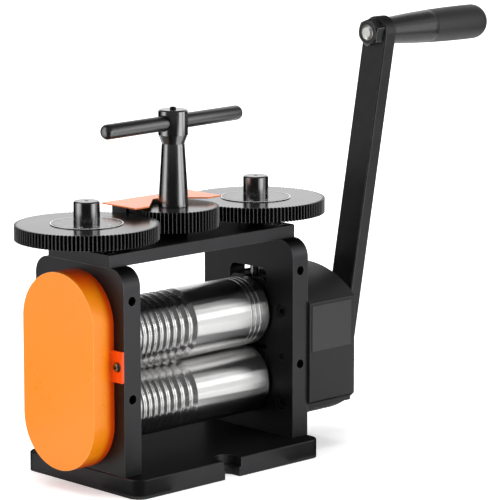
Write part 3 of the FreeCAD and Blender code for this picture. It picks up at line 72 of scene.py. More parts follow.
# %% [markdown]
# ## Camera
# A long lens from far away keeps upright edges nearly parallel. The camera is placed by an aim
# point, a distance and two angles, which is easier to reason about than three coordinates.

# %% Camera
AIM = Vector((66.96, 0.0, 129.93)) * MM
CAMERA_DISTANCE = 1903.5 * MM
CAMERA_AZIMUTH = math.radians(-43.865)
CAMERA_HEIGHT = math.radians(10.442)
LENS = 211.48
SENSOR = 36.0
SEES_TO = 50.0      # metres

away = Vector((math.sin(CAMERA_AZIMUTH) * math.cos(CAMERA_HEIGHT),
               -math.cos(CAMERA_AZIMUTH) * math.cos(CAMERA_HEIGHT),
               math.sin(CAMERA_HEIGHT)))
camera_data = bpy.data.cameras.new("studio_camera")
camera_data.lens = LENS
camera_data.sensor_width = SENSOR
camera_data.clip_end = SEES_TO
camera = bpy.data.objects.new("studio_camera", camera_data)
camera.location = AIM + away * CAMERA_DISTANCE
camera.rotation_euler = (math.pi / 2 - CAMERA_HEIGHT, 0.0, CAMERA_AZIMUTH)
bpy.context.scene.collection.objects.link(camera)
bpy.context.scene.camera = camera
bpy.context.scene.view_settings.view_transform = "Standard"
print("camera at", [round(v, 3) for v in camera.location])

# %% [markdown]
# ## Studio
# Metal shows what stands around it, so the studio matters as much as the shaders. The room is
# white only to the camera. Reflections see a dark room, and the lamps and cards below put the
# bright shapes into it. The floor takes a soft shadow and is lifted towards white for the camera.

# %% World and floor
def add_node(tree, kind, **inputs):
    """Add a shader node and set its inputs by name."""
    node = tree.nodes.new(kind)
    for key, value in inputs.items():
        node.inputs[key.replace("_", " ")].default_value = value
    return node


def leave_edit():
    """Go back to object mode."""
    bpy.ops.object.mode_set(mode="OBJECT")


def deselect():
    """Leave edit mode and select nothing."""
    if bpy.context.object and bpy.context.object.mode != "OBJECT":
        leave_edit()
    bpy.ops.object.select_all(action="DESELECT")


ROOM_LIGHT = 0.42           # what matt surfaces receive from the room
ROOM_MIRRORED = 0.10        # what glossy surfaces see of the room
FLOOR_SIZE = 8.0
FLOOR_WHITE, FLOOR_ROUGH = 0.93, 0.9
FLOOR_GLOW = (0.35, 1.0)    # what the camera sees added near the mill and far behind it
FLOOR_REACH = (0.3, 1.3)    # distances from the mill between which that glow grows

world = bpy.data.worlds.new("studio_world")
bpy.context.scene.world = world
world.use_nodes = True
tree = world.node_tree
tree.nodes.clear()
path = tree.nodes.new("ShaderNodeLightPath")
mirrored = add_node(tree, "ShaderNodeMapRange", To_Min=ROOM_LIGHT, To_Max=ROOM_MIRRORED)
tree.links.new(path.outputs["Is Glossy Ray"], mirrored.inputs["Value"])
strength = tree.nodes.new("ShaderNodeMix")
strength.inputs["B"].default_value = 1.0
tree.links.new(path.outputs["Is Camera Ray"], strength.inputs["Factor"])
tree.links.new(mirrored.outputs["Result"], strength.inputs["A"])
sky = add_node(tree, "ShaderNodeBackground", Color=(1.0, 1.0, 1.0, 1.0))
tree.links.new(strength.outputs["Result"], sky.inputs["Strength"])
surface = tree.nodes.new("ShaderNodeOutputWorld")
tree.links.new(sky.outputs["Background"], surface.inputs["Surface"])

deselect()
bpy.ops.mesh.primitive_plane_add(size=FLOOR_SIZE, location=(0, 0, 0))
floor = bpy.context.object
floor.name = "studio_floor"
floor_paint = bpy.data.materials.new("studio_floor")
floor_paint.use_nodes = True
tree = floor_paint.node_tree
shader = tree.nodes["Principled BSDF"]
shader.inputs["Base Color"].default_value = (FLOOR_WHITE, FLOOR_WHITE, FLOOR_WHITE, 1.0)
shader.inputs["Roughness"].default_value = FLOOR_ROUGH
path = tree.nodes.new("ShaderNodeLightPath")
tree.links.new(path.outputs["Is Camera Ray"], shader.inputs["Emission Strength"])
spot = tree.nodes.new("ShaderNodeTexCoord")
distance = tree.nodes.new("ShaderNodeVectorMath")
distance.operation = "LENGTH"
tree.links.new(spot.outputs["Object"], distance.inputs[0])
glow = add_node(tree, "ShaderNodeMapRange", From_Min=FLOOR_REACH[0], From_Max=FLOOR_REACH[1],
                To_Min=FLOOR_GLOW[0], To_Max=FLOOR_GLOW[1])
tree.links.new(distance.outputs["Value"], glow.inputs["Value"])
tree.links.new(glow.outputs["Result"], shader.inputs["Emission Color"])
floor.data.materials.append(floor_paint)
floor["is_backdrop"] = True
print("world and floor ready")

# %% [markdown]
# ## Lamps and cards
# The soft lamps light the matt surfaces and throw the shadow, but are kept out of reflections.
# Reflections are drawn with cards, as a product photographer does: white cards give the streaks
# along the spindles and the band on the rolls. Black flags, and mats on the floor, keep the space
# between them dark. Bearings are seen from the mill and run from the front to the left.

# %% Lamps and cards
LAMP_AIM = Vector((0.03, 0.0, 0.12))
SOFTBOXES = [   # name, place, width, height and power
    ("left_softbox", (-1.9, 0.1, 0.6), 1.2, 1.3, 17.0),
    ("front_softbox", (0.6, -1.9, 0.9), 1.3, 1.1, 22.0),
    ("top_softbox", (0.1, 0.2, 1.8), 1.6, 1.4, 26.0),
]
CARDS = [       # name, bearings of the ends in degrees, distances, heights and brightness
    ("left_card", (100, 127), (0.6, 0.6), (0.0, 0.75), 2.0),
    ("left_card_edge", (127, 142), (0.6, 0.6), (0.0, 0.75), 0.6),
    ("right_card", (-55, -30), (0.6, 0.6), (0.0, 0.30), 0.65),
    ("right_card_bright", (-30, -2), (0.6, 0.6), (0.0, 0.36), 2.4),
    ("roll_card", (-56, -36), (0.58, 0.58), (0.15, 0.32), 2.3),
    ("roll_card_middle", (-62, -36), (0.58, 0.58), (0.32, 0.44), 2.1),
    ("roll_card_top", (-74, -36), (0.58, 0.58), (0.44, 0.6), 0.9),
    ("front_flag", (12, 88), (0.5, 0.5), (0.0, 0.22), 0.03),
    ("front_card", (5, 92), (0.52, 0.52), (0.22, 0.8), 0.13),
    ("front_mat", (14, 86), (0.12, 0.5), (0.002, 0.002), 0.06),
    ("right_mat", (-80, -20), (0.05, 0.16), (0.002, 0.002), 0.1),
    ("left_mat", (118, 158), (0.15, 0.6), (0.002, 0.002), 0.3),
    ("left_back_flag", (145, 190), (0.8, 0.8), (0.0, 0.5), 0.0),
    ("right_flag", (-66, -125), (0.75, 0.75), (0.0, 0.16), 0.0),
    ("arm_flag", (-74, -55.5), (0.6, 0.6), (0.0, 0.4), 0.02),
    ("backdrop", (190, 262), (1.6, 1.6), (0.0, 1.3), 1.2),
]


def softbox(name, place, width, height, watts):
    """Add a rectangular area light that points at the mill."""
    light = bpy.data.lights.new(name, "AREA")
    light.shape = "RECTANGLE"
    light.size = width
    light.size_y = height
    light.energy = watts
    lamp = bpy.data.objects.new(name, light)
    lamp.location = place
    lamp.rotation_euler = (LAMP_AIM - Vector(place)).to_track_quat("-Z", "Y").to_euler()
    lamp.visible_glossy = False
    bpy.context.scene.collection.objects.link(lamp)


def card(name, bearings, reach, heights, glow):
    """A card that only reflections can see, from one distance and height to another."""
    corners = []
    for bearing in (math.radians(b) for b in bearings):
        for far, height in zip(reach, heights):
            corners.append((LAMP_AIM.x - far * math.sin(bearing), -far * math.cos(bearing),
                            height))
    mesh = bpy.data.meshes.new(name)
    mesh.from_pydata(corners, [], [(0, 1, 3, 2)])
    paper = bpy.data.materials.new(name)
    paper.use_nodes = True
    tree = paper.node_tree
    tree.nodes.clear()
    light = add_node(tree, "ShaderNodeEmission", Strength=glow)
    leave = tree.nodes.new("ShaderNodeOutputMaterial")
    tree.links.new(light.outputs["Emission"], leave.inputs["Surface"])
    mesh.materials.append(paper)
    sheet = bpy.data.objects.new(name, mesh)
    bpy.context.scene.collection.objects.link(sheet)
    sheet.visible_camera = False
    sheet.visible_diffuse = False
    sheet.visible_shadow = False
    sheet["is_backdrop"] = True


for row in SOFTBOXES:
    softbox(*row)
for row in CARDS:
    card(*row)
print(len(SOFTBOXES), "softboxes,", len(CARDS), "cards")

# %% [markdown]
# ## Shared effects
# Real metal is never one flat value: its gloss wanders, and handling wears its edges. The edge
# group lays a colour along sharp edges, partly as that wear and partly as a painted highlight where
# a broken edge catches light. Both effects are node groups with named sockets, built once and placed
# in the materials with numbers of their own. Small helpers add the sums and mixes that several
# materials need.

# %% Node groups
def new_group(name, inputs, outputs):
    """Start a shader node group with float or vector sockets."""
    group = bpy.data.node_groups.new(name, "ShaderNodeTree")
    for label, kind, value in inputs:
        socket = group.interface.new_socket(label, in_out="INPUT", socket_type=kind)
        if value is not None:
            socket.default_value = value
    for label, kind in outputs:
        group.interface.new_socket(label, in_out="OUTPUT", socket_type=kind)
    return group, group.nodes.new("NodeGroupInput"), group.nodes.new("NodeGroupOutput")


def link(group, start, finish):
    """Join two sockets of a group."""
    group.links.new(start, finish)


def calculate(tree, operation, first, second):
    """A math node on two values or sockets."""
    node = tree.nodes.new("ShaderNodeMath")
    node.operation = operation
    for socket, value in zip(node.inputs, (first, second)):
        if isinstance(value, float):
            socket.default_value = value
        else:
            tree.links.new(value, socket)
    return node.outputs[0]


# Mottle: slow blotches and fine grain together, from 0 to 1.
mottle, enter, leave = new_group(
    "mottle",
    [("Vector", "NodeSocketVector", None), ("Blotch", "NodeSocketFloat", 60.0),
     ("Grain", "NodeSocketFloat", 1400.0), ("Balance", "NodeSocketFloat", 0.5)],
    [("Value", "NodeSocketFloat")])
blotch = add_node(mottle, "ShaderNodeTexNoise", Detail=3.0, Roughness=0.55)
grain = add_node(mottle, "ShaderNodeTexNoise", Detail=2.0, Roughness=0.6)
link(mottle, enter.outputs["Vector"], blotch.inputs["Vector"])
link(mottle, enter.outputs["Vector"], grain.inputs["Vector"])
link(mottle, enter.outputs["Blotch"], blotch.inputs["Scale"])
link(mottle, enter.outputs["Grain"], grain.inputs["Scale"])
blend = mottle.nodes.new("ShaderNodeMix")
link(mottle, enter.outputs["Balance"], blend.inputs["Factor"])
link(mottle, blotch.outputs["Fac"], blend.inputs["A"])
link(mottle, grain.outputs["Fac"], blend.inputs["B"])
link(mottle, blend.outputs["Result"], leave.inputs["Value"])

# Edge wear and painted highlight: 1 where the surface turns sharply within the radius, else 0.
EDGE_TURN = (0.995, 0.86)     # cosines of the turn at which the edge colour begins and is full
PATCH = (0.35, 0.6)     # noise values at which a patch of it begins and is full
wear_highlight_group, enter, leave = new_group(
    "edge_wear_and_painted_highlight",
    [("Vector", "NodeSocketVector", None), ("Radius", "NodeSocketFloat", 0.0008),
     ("Break up", "NodeSocketFloat", 0.5)],
    [("Mask", "NodeSocketFloat")])
soft = wear_highlight_group.nodes.new("ShaderNodeBevel")
soft.samples = 4
link(wear_highlight_group, enter.outputs["Radius"], soft.inputs["Radius"])
true_normal = wear_highlight_group.nodes.new("ShaderNodeNewGeometry")
facing = wear_highlight_group.nodes.new("ShaderNodeVectorMath")
facing.operation = "DOT_PRODUCT"
link(wear_highlight_group, soft.outputs["Normal"], facing.inputs[0])
link(wear_highlight_group, true_normal.outputs["Normal"], facing.inputs[1])
edge = add_node(wear_highlight_group, "ShaderNodeMapRange", From_Min=EDGE_TURN[0], From_Max=EDGE_TURN[1])
link(wear_highlight_group, facing.outputs["Value"], edge.inputs["Value"])
patches = add_node(wear_highlight_group, "ShaderNodeTexNoise", Scale=220.0, Detail=4.0)
link(wear_highlight_group, enter.outputs["Vector"], patches.inputs["Vector"])
threshold = add_node(wear_highlight_group, "ShaderNodeMapRange", From_Min=PATCH[0], From_Max=PATCH[1])
link(wear_highlight_group, patches.outputs["Fac"], threshold.inputs["Value"])
keep = wear_highlight_group.nodes.new("ShaderNodeMix")
keep.inputs["A"].default_value = 1.0
link(wear_highlight_group, enter.outputs["Break up"], keep.inputs["Factor"])
link(wear_highlight_group, threshold.outputs["Result"], keep.inputs["B"])
mask = calculate(wear_highlight_group, "MULTIPLY", edge.outputs["Result"], keep.outputs["Result"])
link(wear_highlight_group, mask, leave.inputs["Mask"])


def ramp(tree, value, start, stop, height):
    """Rise from 0 to a height between two places in millimetres."""
    node = add_node(tree, "ShaderNodeMapRange", From_Min=start * MM, From_Max=stop * MM,
                    To_Max=height)
    node.interpolation_type = "SMOOTHSTEP"
    tree.links.new(value, node.inputs["Value"])
    return node.outputs["Result"]


def place_on(tree):
    """The three coordinates of a point on the object."""
    split = tree.nodes.new("ShaderNodeSeparateXYZ")
    tree.links.new(tree.nodes["Texture Coordinate"].outputs["Object"], split.inputs["Vector"])
    return split.outputs["X"], split.outputs["Y"], split.outputs["Z"]


def pour(tree, mask, colour):
    """Lay a colour over the base colour that the shader has so far, where a mask is 1."""
    base = tree.nodes["Principled BSDF"].inputs["Base Color"]
    over = tree.nodes.new("ShaderNodeMix")
    over.data_type = "RGBA"
    over.inputs["B"].default_value = (*colour, 1.0)
    tree.links.new(mask, over.inputs["Factor"])
    tree.links.new(base.links[0].from_socket, over.inputs["A"])
    tree.links.new(over.outputs["Result"], base)


print("groups:", [g.name for g in bpy.data.node_groups])

# %% [markdown]
# ## Finishes
# One function builds every finish from the same few knobs, because a maker thinks the same way:
# a base colour, how glossy, how metallic, how much grain, how much wear and painted highlight at
# the edges. Values that stay constant go straight onto the shader's own sockets.

# %% Finish builder
COAT_ROUGH = 0.1
GLOSSIEST = 0.02
SWING_FROM = (0.3, 0.7)     # mottle values between which the gloss goes its whole swing
ACROSS_TANGENT = 0.25       # turns from the tangent to the direction of a brushed streak


def finish(name, colour, rough, metallic=0.0, rough_swing=0.06, colour_swing=0.15, blotch=45.0,
           grain=1500.0, bump=0.02, bump_reach=0.00005, edge_colour=None, edge_radius=0.0008,
           edge_break=0.5, coat=0.0, specular=0.5, edge_tint=1.0, brushed=0.0):
    """Build a procedural material and return it. Brushed metal has its lines round X."""
    material = bpy.data.materials.new(name)
    material.use_nodes = True
    tree = material.node_tree
    shader = tree.nodes["Principled BSDF"]
    shader.inputs["Metallic"].default_value = metallic
    shader.inputs["Specular IOR Level"].default_value = specular
    shader.inputs["Specular Tint"].default_value = (edge_tint, edge_tint, edge_tint, 1.0)
    shader.inputs["Coat Weight"].default_value = coat
    shader.inputs["Coat Roughness"].default_value = COAT_ROUGH
    place = tree.nodes.new("ShaderNodeTexCoord").outputs["Object"]

    def use(group, **values):
        node = tree.nodes.new("ShaderNodeGroup")
        node.node_tree = group
        tree.links.new(place, node.inputs["Vector"])
        for key, value in values.items():
            node.inputs[key.replace("_", " ")].default_value = value
        return node

    spots = use(mottle, Blotch=blotch, Grain=grain)
    gloss = add_node(tree, "ShaderNodeMapRange", From_Min=SWING_FROM[0], From_Max=SWING_FROM[1],
                     To_Min=max(rough - rough_swing, GLOSSIEST), To_Max=rough + rough_swing)
    tree.links.new(spots.outputs["Value"], gloss.inputs["Value"])
    tree.links.new(gloss.outputs["Result"], shader.inputs["Roughness"])

    dark = tuple(c * (1 - colour_swing) for c in colour)
    light = tuple(min(c * (1 + colour_swing), 1.0) for c in colour)
    shade = tree.nodes.new("ShaderNodeMix")
    shade.data_type = "RGBA"
    shade.inputs["A"].default_value = (*dark, 1.0)
    shade.inputs["B"].default_value = (*light, 1.0)
    tree.links.new(spots.outputs["Value"], shade.inputs["Factor"])
    tree.links.new(shade.outputs["Result"], shader.inputs["Base Color"])
    if edge_colour:
        # Lay the edge colour: partly wear, partly a painted highlight along the edge.
        wear_and_highlight = use(wear_highlight_group, Radius=edge_radius, Break_up=edge_break)
        pour(tree, wear_and_highlight.outputs["Mask"], edge_colour)

    relief = add_node(tree, "ShaderNodeBump", Strength=bump, Distance=bump_reach)
    tree.links.new(spots.outputs["Value"], relief.inputs["Height"])
    tree.links.new(relief.outputs["Normal"], shader.inputs["Normal"])
    if brushed:
        shader.inputs["Anisotropic"].default_value = brushed
        shader.inputs["Anisotropic Rotation"].default_value = ACROSS_TANGENT
        around = tree.nodes.new("ShaderNodeTangent")
        around.direction_type = "RADIAL"
        around.axis = "X"
        tree.links.new(around.outputs["Tangent"], shader.inputs["Tangent"])
    return material


print("finish builder ready")

# %% [markdown]
# The mill has few finishes. Plates and housing are black with a satin sheen, gears and handle are
# blackened steel with more gloss, the rolls are ground and polished, and the gear cover is thick
# orange enamel. Its pale edges, like the lighter edges of the black parts, are partly thin enamel
# and wear and partly a painted highlight. Radii and depths are in metres.

# %% Finishes
# Edge colours lighter than their finish are partly wear and partly a painted highlight on the broken
# edges.
plate_black = finish("plate_black", (0.051, 0.051, 0.053), 0.38, metallic=0.93, edge_tint=0.2,
                     bump=0.12, bump_reach=0.00003, edge_colour=(0.17, 0.17, 0.175),
                     edge_radius=0.0005)
arm_black = finish("arm_black", (0.05, 0.05, 0.051), 0.42, metallic=0.9, edge_tint=0.3,
                   colour_swing=0.35, blotch=120.0, bump=0.16, bump_reach=0.00003,
                   edge_colour=(0.3, 0.3, 0.305))
housing_black = finish("housing_black", (0.014, 0.014, 0.015), 0.5, metallic=0.3, grain=2600.0,
                       bump=0.35, edge_colour=(0.06, 0.06, 0.063))
gear_black = finish("gear_black", (0.11, 0.11, 0.112), 0.17, metallic=0.95, rough_swing=0.03,
                    colour_swing=0.06, bump=0.01, bump_reach=0.00002)
handle_black = finish("handle_black", (0.23, 0.23, 0.233), 0.2, metallic=1.0, rough_swing=0.02,
                      colour_swing=0.05, bump=0.008, bump_reach=0.00002)
bar_black = finish("bar_black", (0.15, 0.15, 0.152), 0.33, metallic=1.0, rough_swing=0.02,
                   colour_swing=0.05, bump=0.008, bump_reach=0.00002)
roll_steel = finish("roll_steel", (0.76, 0.755, 0.75), 0.25, metallic=1.0, rough_swing=0.02,
                    colour_swing=0.03, bump=0.01, bump_reach=0.00001, brushed=1.0)
bright_steel = finish("bright_steel", (0.88, 0.87, 0.84), 0.32, metallic=1.0, colour_swing=0.08,
                      bump=0.3, bump_reach=0.00004)
nut_black = finish("nut_black", (0.05, 0.05, 0.051), 0.32, metallic=0.9, colour_swing=0.12,
                   edge_colour=(0.5, 0.5, 0.51), edge_break=0.2)
screw_black = finish("screw_black", (0.02, 0.02, 0.021), 0.32, metallic=0.8, colour_swing=0.12,
                     edge_colour=(0.06, 0.06, 0.062), edge_radius=0.0004)
bush_bronze = finish("bush_bronze", (0.62, 0.4, 0.18), 0.35, metallic=1.0, colour_swing=0.12)
cover_enamel = finish("cover_enamel", (0.9, 0.245, 0.004), 0.3, rough_swing=0.04,
                      colour_swing=0.02, blotch=30.0, grain=520.0, bump=0.3,
                      bump_reach=0.0002, edge_colour=(1.0, 0.5, 0.16), edge_radius=0.0006,
                      edge_break=0.6, specular=0.42)
# Here the edge colour is darker than the steel, which lays a dark ring round each screw head.
screw_steel = finish("screw_steel", (0.3, 0.28, 0.25), 0.25, metallic=1.0, colour_swing=0.1,
                     edge_colour=(0.03, 0.03, 0.03), edge_radius=0.0007, edge_break=0.1)
shield_enamel = finish("shield_enamel", (0.86, 0.2, 0.035), 0.24, rough_swing=0.04,
                       colour_swing=0.04, bump=0.05, edge_colour=(0.9, 0.4, 0.16),
                       edge_radius=0.0004, coat=0.2)
grip_plastic = finish("grip_plastic", (0.015, 0.015, 0.016), 0.28, grain=2400.0, bump=0.1)
label_film = finish("label_film", (0.02, 0.02, 0.021), 0.42, rough_swing=0.03)
dial_black = finish("dial_black", (0.12, 0.12, 0.122), 0.16, metallic=0.95, rough_swing=0.03,
                    colour_swing=0.06, bump_reach=0.00002)
ring_paint = finish("ring_paint", (0.82, 0.82, 0.8), 0.5, colour_swing=0.08)
mark_paint = finish("mark_paint", (0.5, 0.5, 0.5), 0.5, colour_swing=0.08)
print(len(bpy.data.materials), "materials")

# %% [markdown]
# Where the sheet bends away from the front face and next to the plate, shade is painted into the
# enamel: its colour is laid a deeper red there. Where this painted shade falls is read from the
# place on the object: how far a point lies behind the front face, and how far above or below the
# middle.

# %% Painted shade on the enamel
# Colour of the painted shade on the enamel, and where it is laid.
ENAMEL_SHADE = (0.8, 0.05, 0.002)
COVER_MIDDLE = 74.7
FACE_TO_SIDE = (-95.6, -93.0, 0.85)     # X where it begins and is full, and how much
SIDE_TO_PLATE = (-86.0, -80.5, 0.9)
ROUND_ENDS = (49.0, 61.0, 1.0)          # the same, up or down from the middle

tree = cover_enamel.node_tree
x, _, z = place_on(tree)
behind = ramp(tree, x, *FACE_TO_SIDE)
from_middle = calculate(tree, "SUBTRACT", z, COVER_MIDDLE * MM)
downwards = calculate(tree, "MULTIPLY", from_middle, -1.0)
ends = ramp(tree, calculate(tree, "MAXIMUM", from_middle, downwards), *ROUND_ENDS)
at_plate = ramp(tree, x, *SIDE_TO_PLATE)
shaded = calculate(tree, "MAXIMUM", calculate(tree, "MULTIPLY", behind, ends), at_plate)
# Painted shade: the deeper red is laid over the orange on the bent sides and next to the plate.
pour(tree, shaded, ENAMEL_SHADE)
print("deep enamel mixed in")

# %% [markdown]
# ## Machined pieces
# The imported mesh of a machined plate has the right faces, but its edges are knife sharp. A real
# edge is broken by a file or a cutter and shows as a thin bright line. A copy of the mesh is
# merged, its flat areas are cleaned, its edges get a narrow bevel, and weighted normals keep the
# flats flat.

# %% Helper for machined pieces
MERGE_WITHIN = 0.002
FLAT_WITHIN = 0.3       # degrees
SMOOTH_BELOW = 36.0     # degrees
FLAT_WEIGHT = 80
BODY_OF = {node: body for body, names in frame["record"]["behaviour"]["bodies"].items()
           for node in names}


def activate(piece):
    """Select one piece alone."""
    deselect()
    piece.select_set(True)
    bpy.context.view_layer.objects.active = piece


def edit_all():
    """Enter edit mode with everything selected."""
    bpy.ops.object.mode_set(mode="EDIT")
    bpy.ops.mesh.select_all(action="SELECT")


def attach(piece, material, body, nodes=()):
    """Give a finished piece its material and its place in the assembly."""
    piece.data.materials.clear()
    piece.data.materials.append(material)
    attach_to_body(piece, body)
    if nodes:
        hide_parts(*nodes)


def stand_for(piece, material, node):
    """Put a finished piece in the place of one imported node."""
    attach(piece, material, BODY_OF[node], [node])


def round_edges(piece, width, angle=32.0):
    """Bevel all edges sharper than an angle and keep the flats of the piece flat."""
    activate(piece)
    bevel = piece.modifiers.new("edges", "BEVEL")
    bevel.width = width * MM
    bevel.segments = 2
    bevel.limit_method = "ANGLE"
    bevel.angle_limit = math.radians(angle)
    bpy.ops.object.modifier_apply(modifier=bevel.name)
    bpy.ops.object.shade_smooth_by_angle(angle=math.radians(SMOOTH_BELOW))
    weigh = piece.modifiers.new("flats", "WEIGHTED_NORMAL")
    weigh.keep_sharp = True
    weigh.weight = FLAT_WEIGHT
    bpy.ops.object.modifier_apply(modifier=weigh.name)


def machined(node, material, width):
    """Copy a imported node, merge it, break its edges and let the copy stand for it."""
    mesh = frame["nodes"][node].data.copy()
    piece = bpy.data.objects.new(node + "_finished", mesh)
    bpy.context.scene.collection.objects.link(piece)
    activate(piece)
    if mesh.has_custom_normals:
        bpy.ops.mesh.customdata_custom_splitnormals_clear()
    edit_all()
    bpy.ops.mesh.remove_doubles(threshold=MERGE_WITHIN * MM)
    bpy.ops.mesh.dissolve_limited(angle_limit=math.radians(FLAT_WITHIN))
    leave_edit()
    round_edges(piece, width)
    stand_for(piece, material, node)
    return piece


MACHINED = [    # node, finish and width of the broken edge
    ("base_plate", plate_black, 0.4),
    ("left_side_plate", plate_black, 0.4),
    ("right_side_plate", plate_black, 0.4),
    ("top_plate", plate_black, 0.35),
    ("guard_block", plate_black, 0.3),
    ("gearbox_housing", housing_black, 0.5),
    ("upper_left_bearing", plate_black, 0.3),
    ("upper_right_bearing", plate_black, 0.3),
    ("lower_left_bearing", plate_black, 0.3),
    ("lower_right_bearing", plate_black, 0.3),
    ("shield_plate", shield_enamel, 0.2),
    ("crank_arm", arm_black, 0.3),
    ("grip_nut", nut_black, 0.15),
    ("label_plate", label_film, 0.15),
    ("base_screws", screw_black, 0.15),
    ("top_plate_screws", screw_black, 0.15),
    ("guard_screws", screw_black, 0.15),
    ("gearbox_screws", screw_black, 0.15),
    ("gear_cover_screws", screw_steel, 0.1),
    ("crank_screw", screw_black, 0.15),
    ("handle_set_screw", screw_black, 0.1),
]
for node, material, width in MACHINED:
    made = machined(node, material, width)
    print(made.name, len(made.data.polygons), "faces")

# %% [markdown]
# ## Turned pieces
# Rolls, spindles, handle and grip come off a lathe. A ring of vertices is extruded along the axis
# from one diameter to the next, just as the tool travels along the work. The more steps in the
# ring, the smoother a polished surface mirrors the studio.

# %% Helper for turned pieces
NEAR = 0.01             # within this a point lies on a plane or circle
SAME_RADIUS = 1e-6
SMOOTH_TURNED = 20.0    # degrees
AXES = {"x": ((0, math.pi / 2, 0), Vector((1, 0, 0))), "z": ((0, 0, 0), Vector((0, 0, 1)))}


def lathe(name, profile, centre, axis="x", steps=128, closed=False):
    """Turn (place along the axis, radius) points in millimetres, round a centre in metres."""
    turn, direction = AXES[axis]
    at, radius = profile[0]
    deselect()
    bpy.ops.mesh.primitive_circle_add(vertices=steps, radius=radius * MM, rotation=turn,
                                      location=Vector(centre) + direction * at * MM)
    piece = bpy.context.object
    piece.name = name
    bpy.ops.object.transform_apply()
    edit_all()
    if not closed:
        bpy.ops.mesh.edge_face_add()
        bpy.ops.mesh.select_mode(type="EDGE")
    for place, size in profile[1:]:
        step = direction * (place - at) * MM
        bpy.ops.mesh.extrude_edges_move(TRANSFORM_OT_translate={"value": step})
        if abs(size - radius) > SAME_RADIUS:
            factor = size / radius
            scale = (1, factor, factor) if axis == "x" else (factor, factor, 1)
            pivot = Vector(centre) + direction * place * MM
            bpy.ops.transform.resize(value=scale, center_override=pivot)
        at, radius = place, size
    if not closed:
        bpy.ops.mesh.edge_face_add()
    bpy.ops.mesh.select_mode(type="VERT")
    bpy.ops.mesh.select_all(action="SELECT")
    bpy.ops.mesh.remove_doubles(threshold=MERGE_WITHIN / 2 * MM)
    bpy.ops.mesh.normals_make_consistent(inside=False)
    leave_edit()
    activate(piece)
    bpy.ops.object.shade_smooth_by_angle(angle=math.radians(SMOOTH_TURNED))
    return piece


def arc(start, stop, steps=6):
    """Angles in radians from one to another, which are given in degrees."""
    return [math.radians(start + (stop - start) * step / steps) for step in range(steps + 1)]


def upright_axis(node):
    """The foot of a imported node's vertical axis."""
    low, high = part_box(node)
    return Vector(((low.x + high.x) / 2, 0, 0))


def pick(piece, test, mode="VERT"):
    """Select vertices or whole edges whose places pass a test, in edit mode afterwards."""
    bpy.ops.object.mode_set(mode="EDIT")
    bpy.ops.mesh.select_mode(type=mode)
    bpy.ops.mesh.select_all(action="DESELECT")
    leave_edit()
    mesh = piece.data
    if mode == "VERT":
        for vertex in mesh.vertices:
            vertex.select = test(vertex.co / MM)
    else:
        for edge in mesh.edges:
            ends = [mesh.vertices[i].co / MM for i in edge.vertices]
            edge.select = all(test(end) for end in ends)
    bpy.ops.object.mode_set(mode="EDIT")


def join(pieces, name):
    """Join several meshes into one piece at the origin."""
    activate(pieces[0])
    for piece in pieces:
        piece.select_set(True)
    bpy.ops.object.join()
    joined = bpy.context.object
    joined.name = name
    return joined


print("lathe, arc, pick and join ready")

# %% [markdown]
# ## Spur gears
# Two large gears and a small one couple both screws to the handle. The body of a gear is turned.
# Its rim starts as a circle with twelve vertices per tooth. They are gathered by their place in
# the tooth and pulled in to the height that the tooth has there, which cuts all teeth at once.

# %% Gears
MODULE = 0.8
GEAR_EDGE, GEAR_EDGE_ANGLE = 0.12, 75.0
TOOTH_SHAPE = (1.0, 0.82, 0.17, -0.61, -1.25, -1.25)   # modules above the pitch circle
RIM_STOCK = 1.0             # from the tooth roots to the turned body
# Painted shade: in the gaps between the teeth, below the tips and below the upper face, the gear
# colour is laid nearly black.
GAP_BLACK = (0.2, 0.9)      # below the tips, where the gaps begin to darken and are dark
SHADE_UNDER_FACE = (0.1, 0.3)     # the same below the upper face
GAP_SHADE = (0.006, 0.006, 0.006)
GEARS = [   # node, teeth, tooth at, low and high, hub radius and foot, bore
    ("left_dial_gear", 110, 180 / 110, (154.7, 164.2), (13.0, 150.9), 8.22),
    ("right_dial_gear", 110, 180 / 110, (154.7, 164.2), (13.0, 150.9), 8.22),
    ("centre_gear", 70, 0.0, (154.0, 166.9), (8.8, 149.5), 5.05),
]


def toothed_rim(name, teeth, tooth_at, centre, low, high):
    """The outer wall of a gear, with a tooth centred at an angle in radians."""
    slices = 2 * len(TOOTH_SHAPE)
    pitch = 2 * math.pi / teeth
    tip = (teeth / 2 + TOOTH_SHAPE[0]) * MODULE
    deselect()
    bpy.ops.mesh.primitive_circle_add(
        vertices=slices * teeth, radius=tip * MM, location=centre + Vector((0, 0, low * MM)),
        rotation=(0, 0, tooth_at - math.pi / 2 + pitch / slices / 2))
    rim = bpy.context.object
    rim.name = name
    bpy.ops.object.transform_apply()

    def step_of(point):
        turn = (math.atan2(point.y, point.x - centre.x / MM) - tooth_at) / pitch
        return int(abs(turn - round(turn)) * slices)

    for step, height in enumerate(TOOTH_SHAPE):
        factor = (teeth / 2 + height) * MODULE / tip
        pick(rim, lambda point: step_of(point) == step)
        bpy.ops.transform.resize(value=(factor, factor, 1), center_override=centre)
        leave_edit()
    edit_all()
    bpy.ops.mesh.extrude_edges_move(TRANSFORM_OT_translate={"value": (0, 0, (high - low) * MM)})
    leave_edit()
    return rim


def dark_gaps(name, centre, tip, high):
    """The gear finish, with shade painted into the gaps between the teeth."""
    gap_shaded = gear_black.copy()
    gap_shaded.name = name
    tree = gap_shaded.node_tree
    x, y, z = place_on(tree)
    across = calculate(tree, "SUBTRACT", x, centre.x)
    squares = [calculate(tree, "MULTIPLY", side, side) for side in (across, y)]
    from_axis = calculate(tree, "SQRT", calculate(tree, "ADD", *squares), 0.0)
    gap = ramp(tree, from_axis, tip - GAP_BLACK[0], tip - GAP_BLACK[1], 1.0)
    below_face = ramp(tree, z, high - SHADE_UNDER_FACE[0], high - SHADE_UNDER_FACE[1], 1.0)
    # Lay the painted shade into the tooth gaps.
    pour(tree, calculate(tree, "MULTIPLY", gap, below_face), GAP_SHADE)
    return gap_shaded


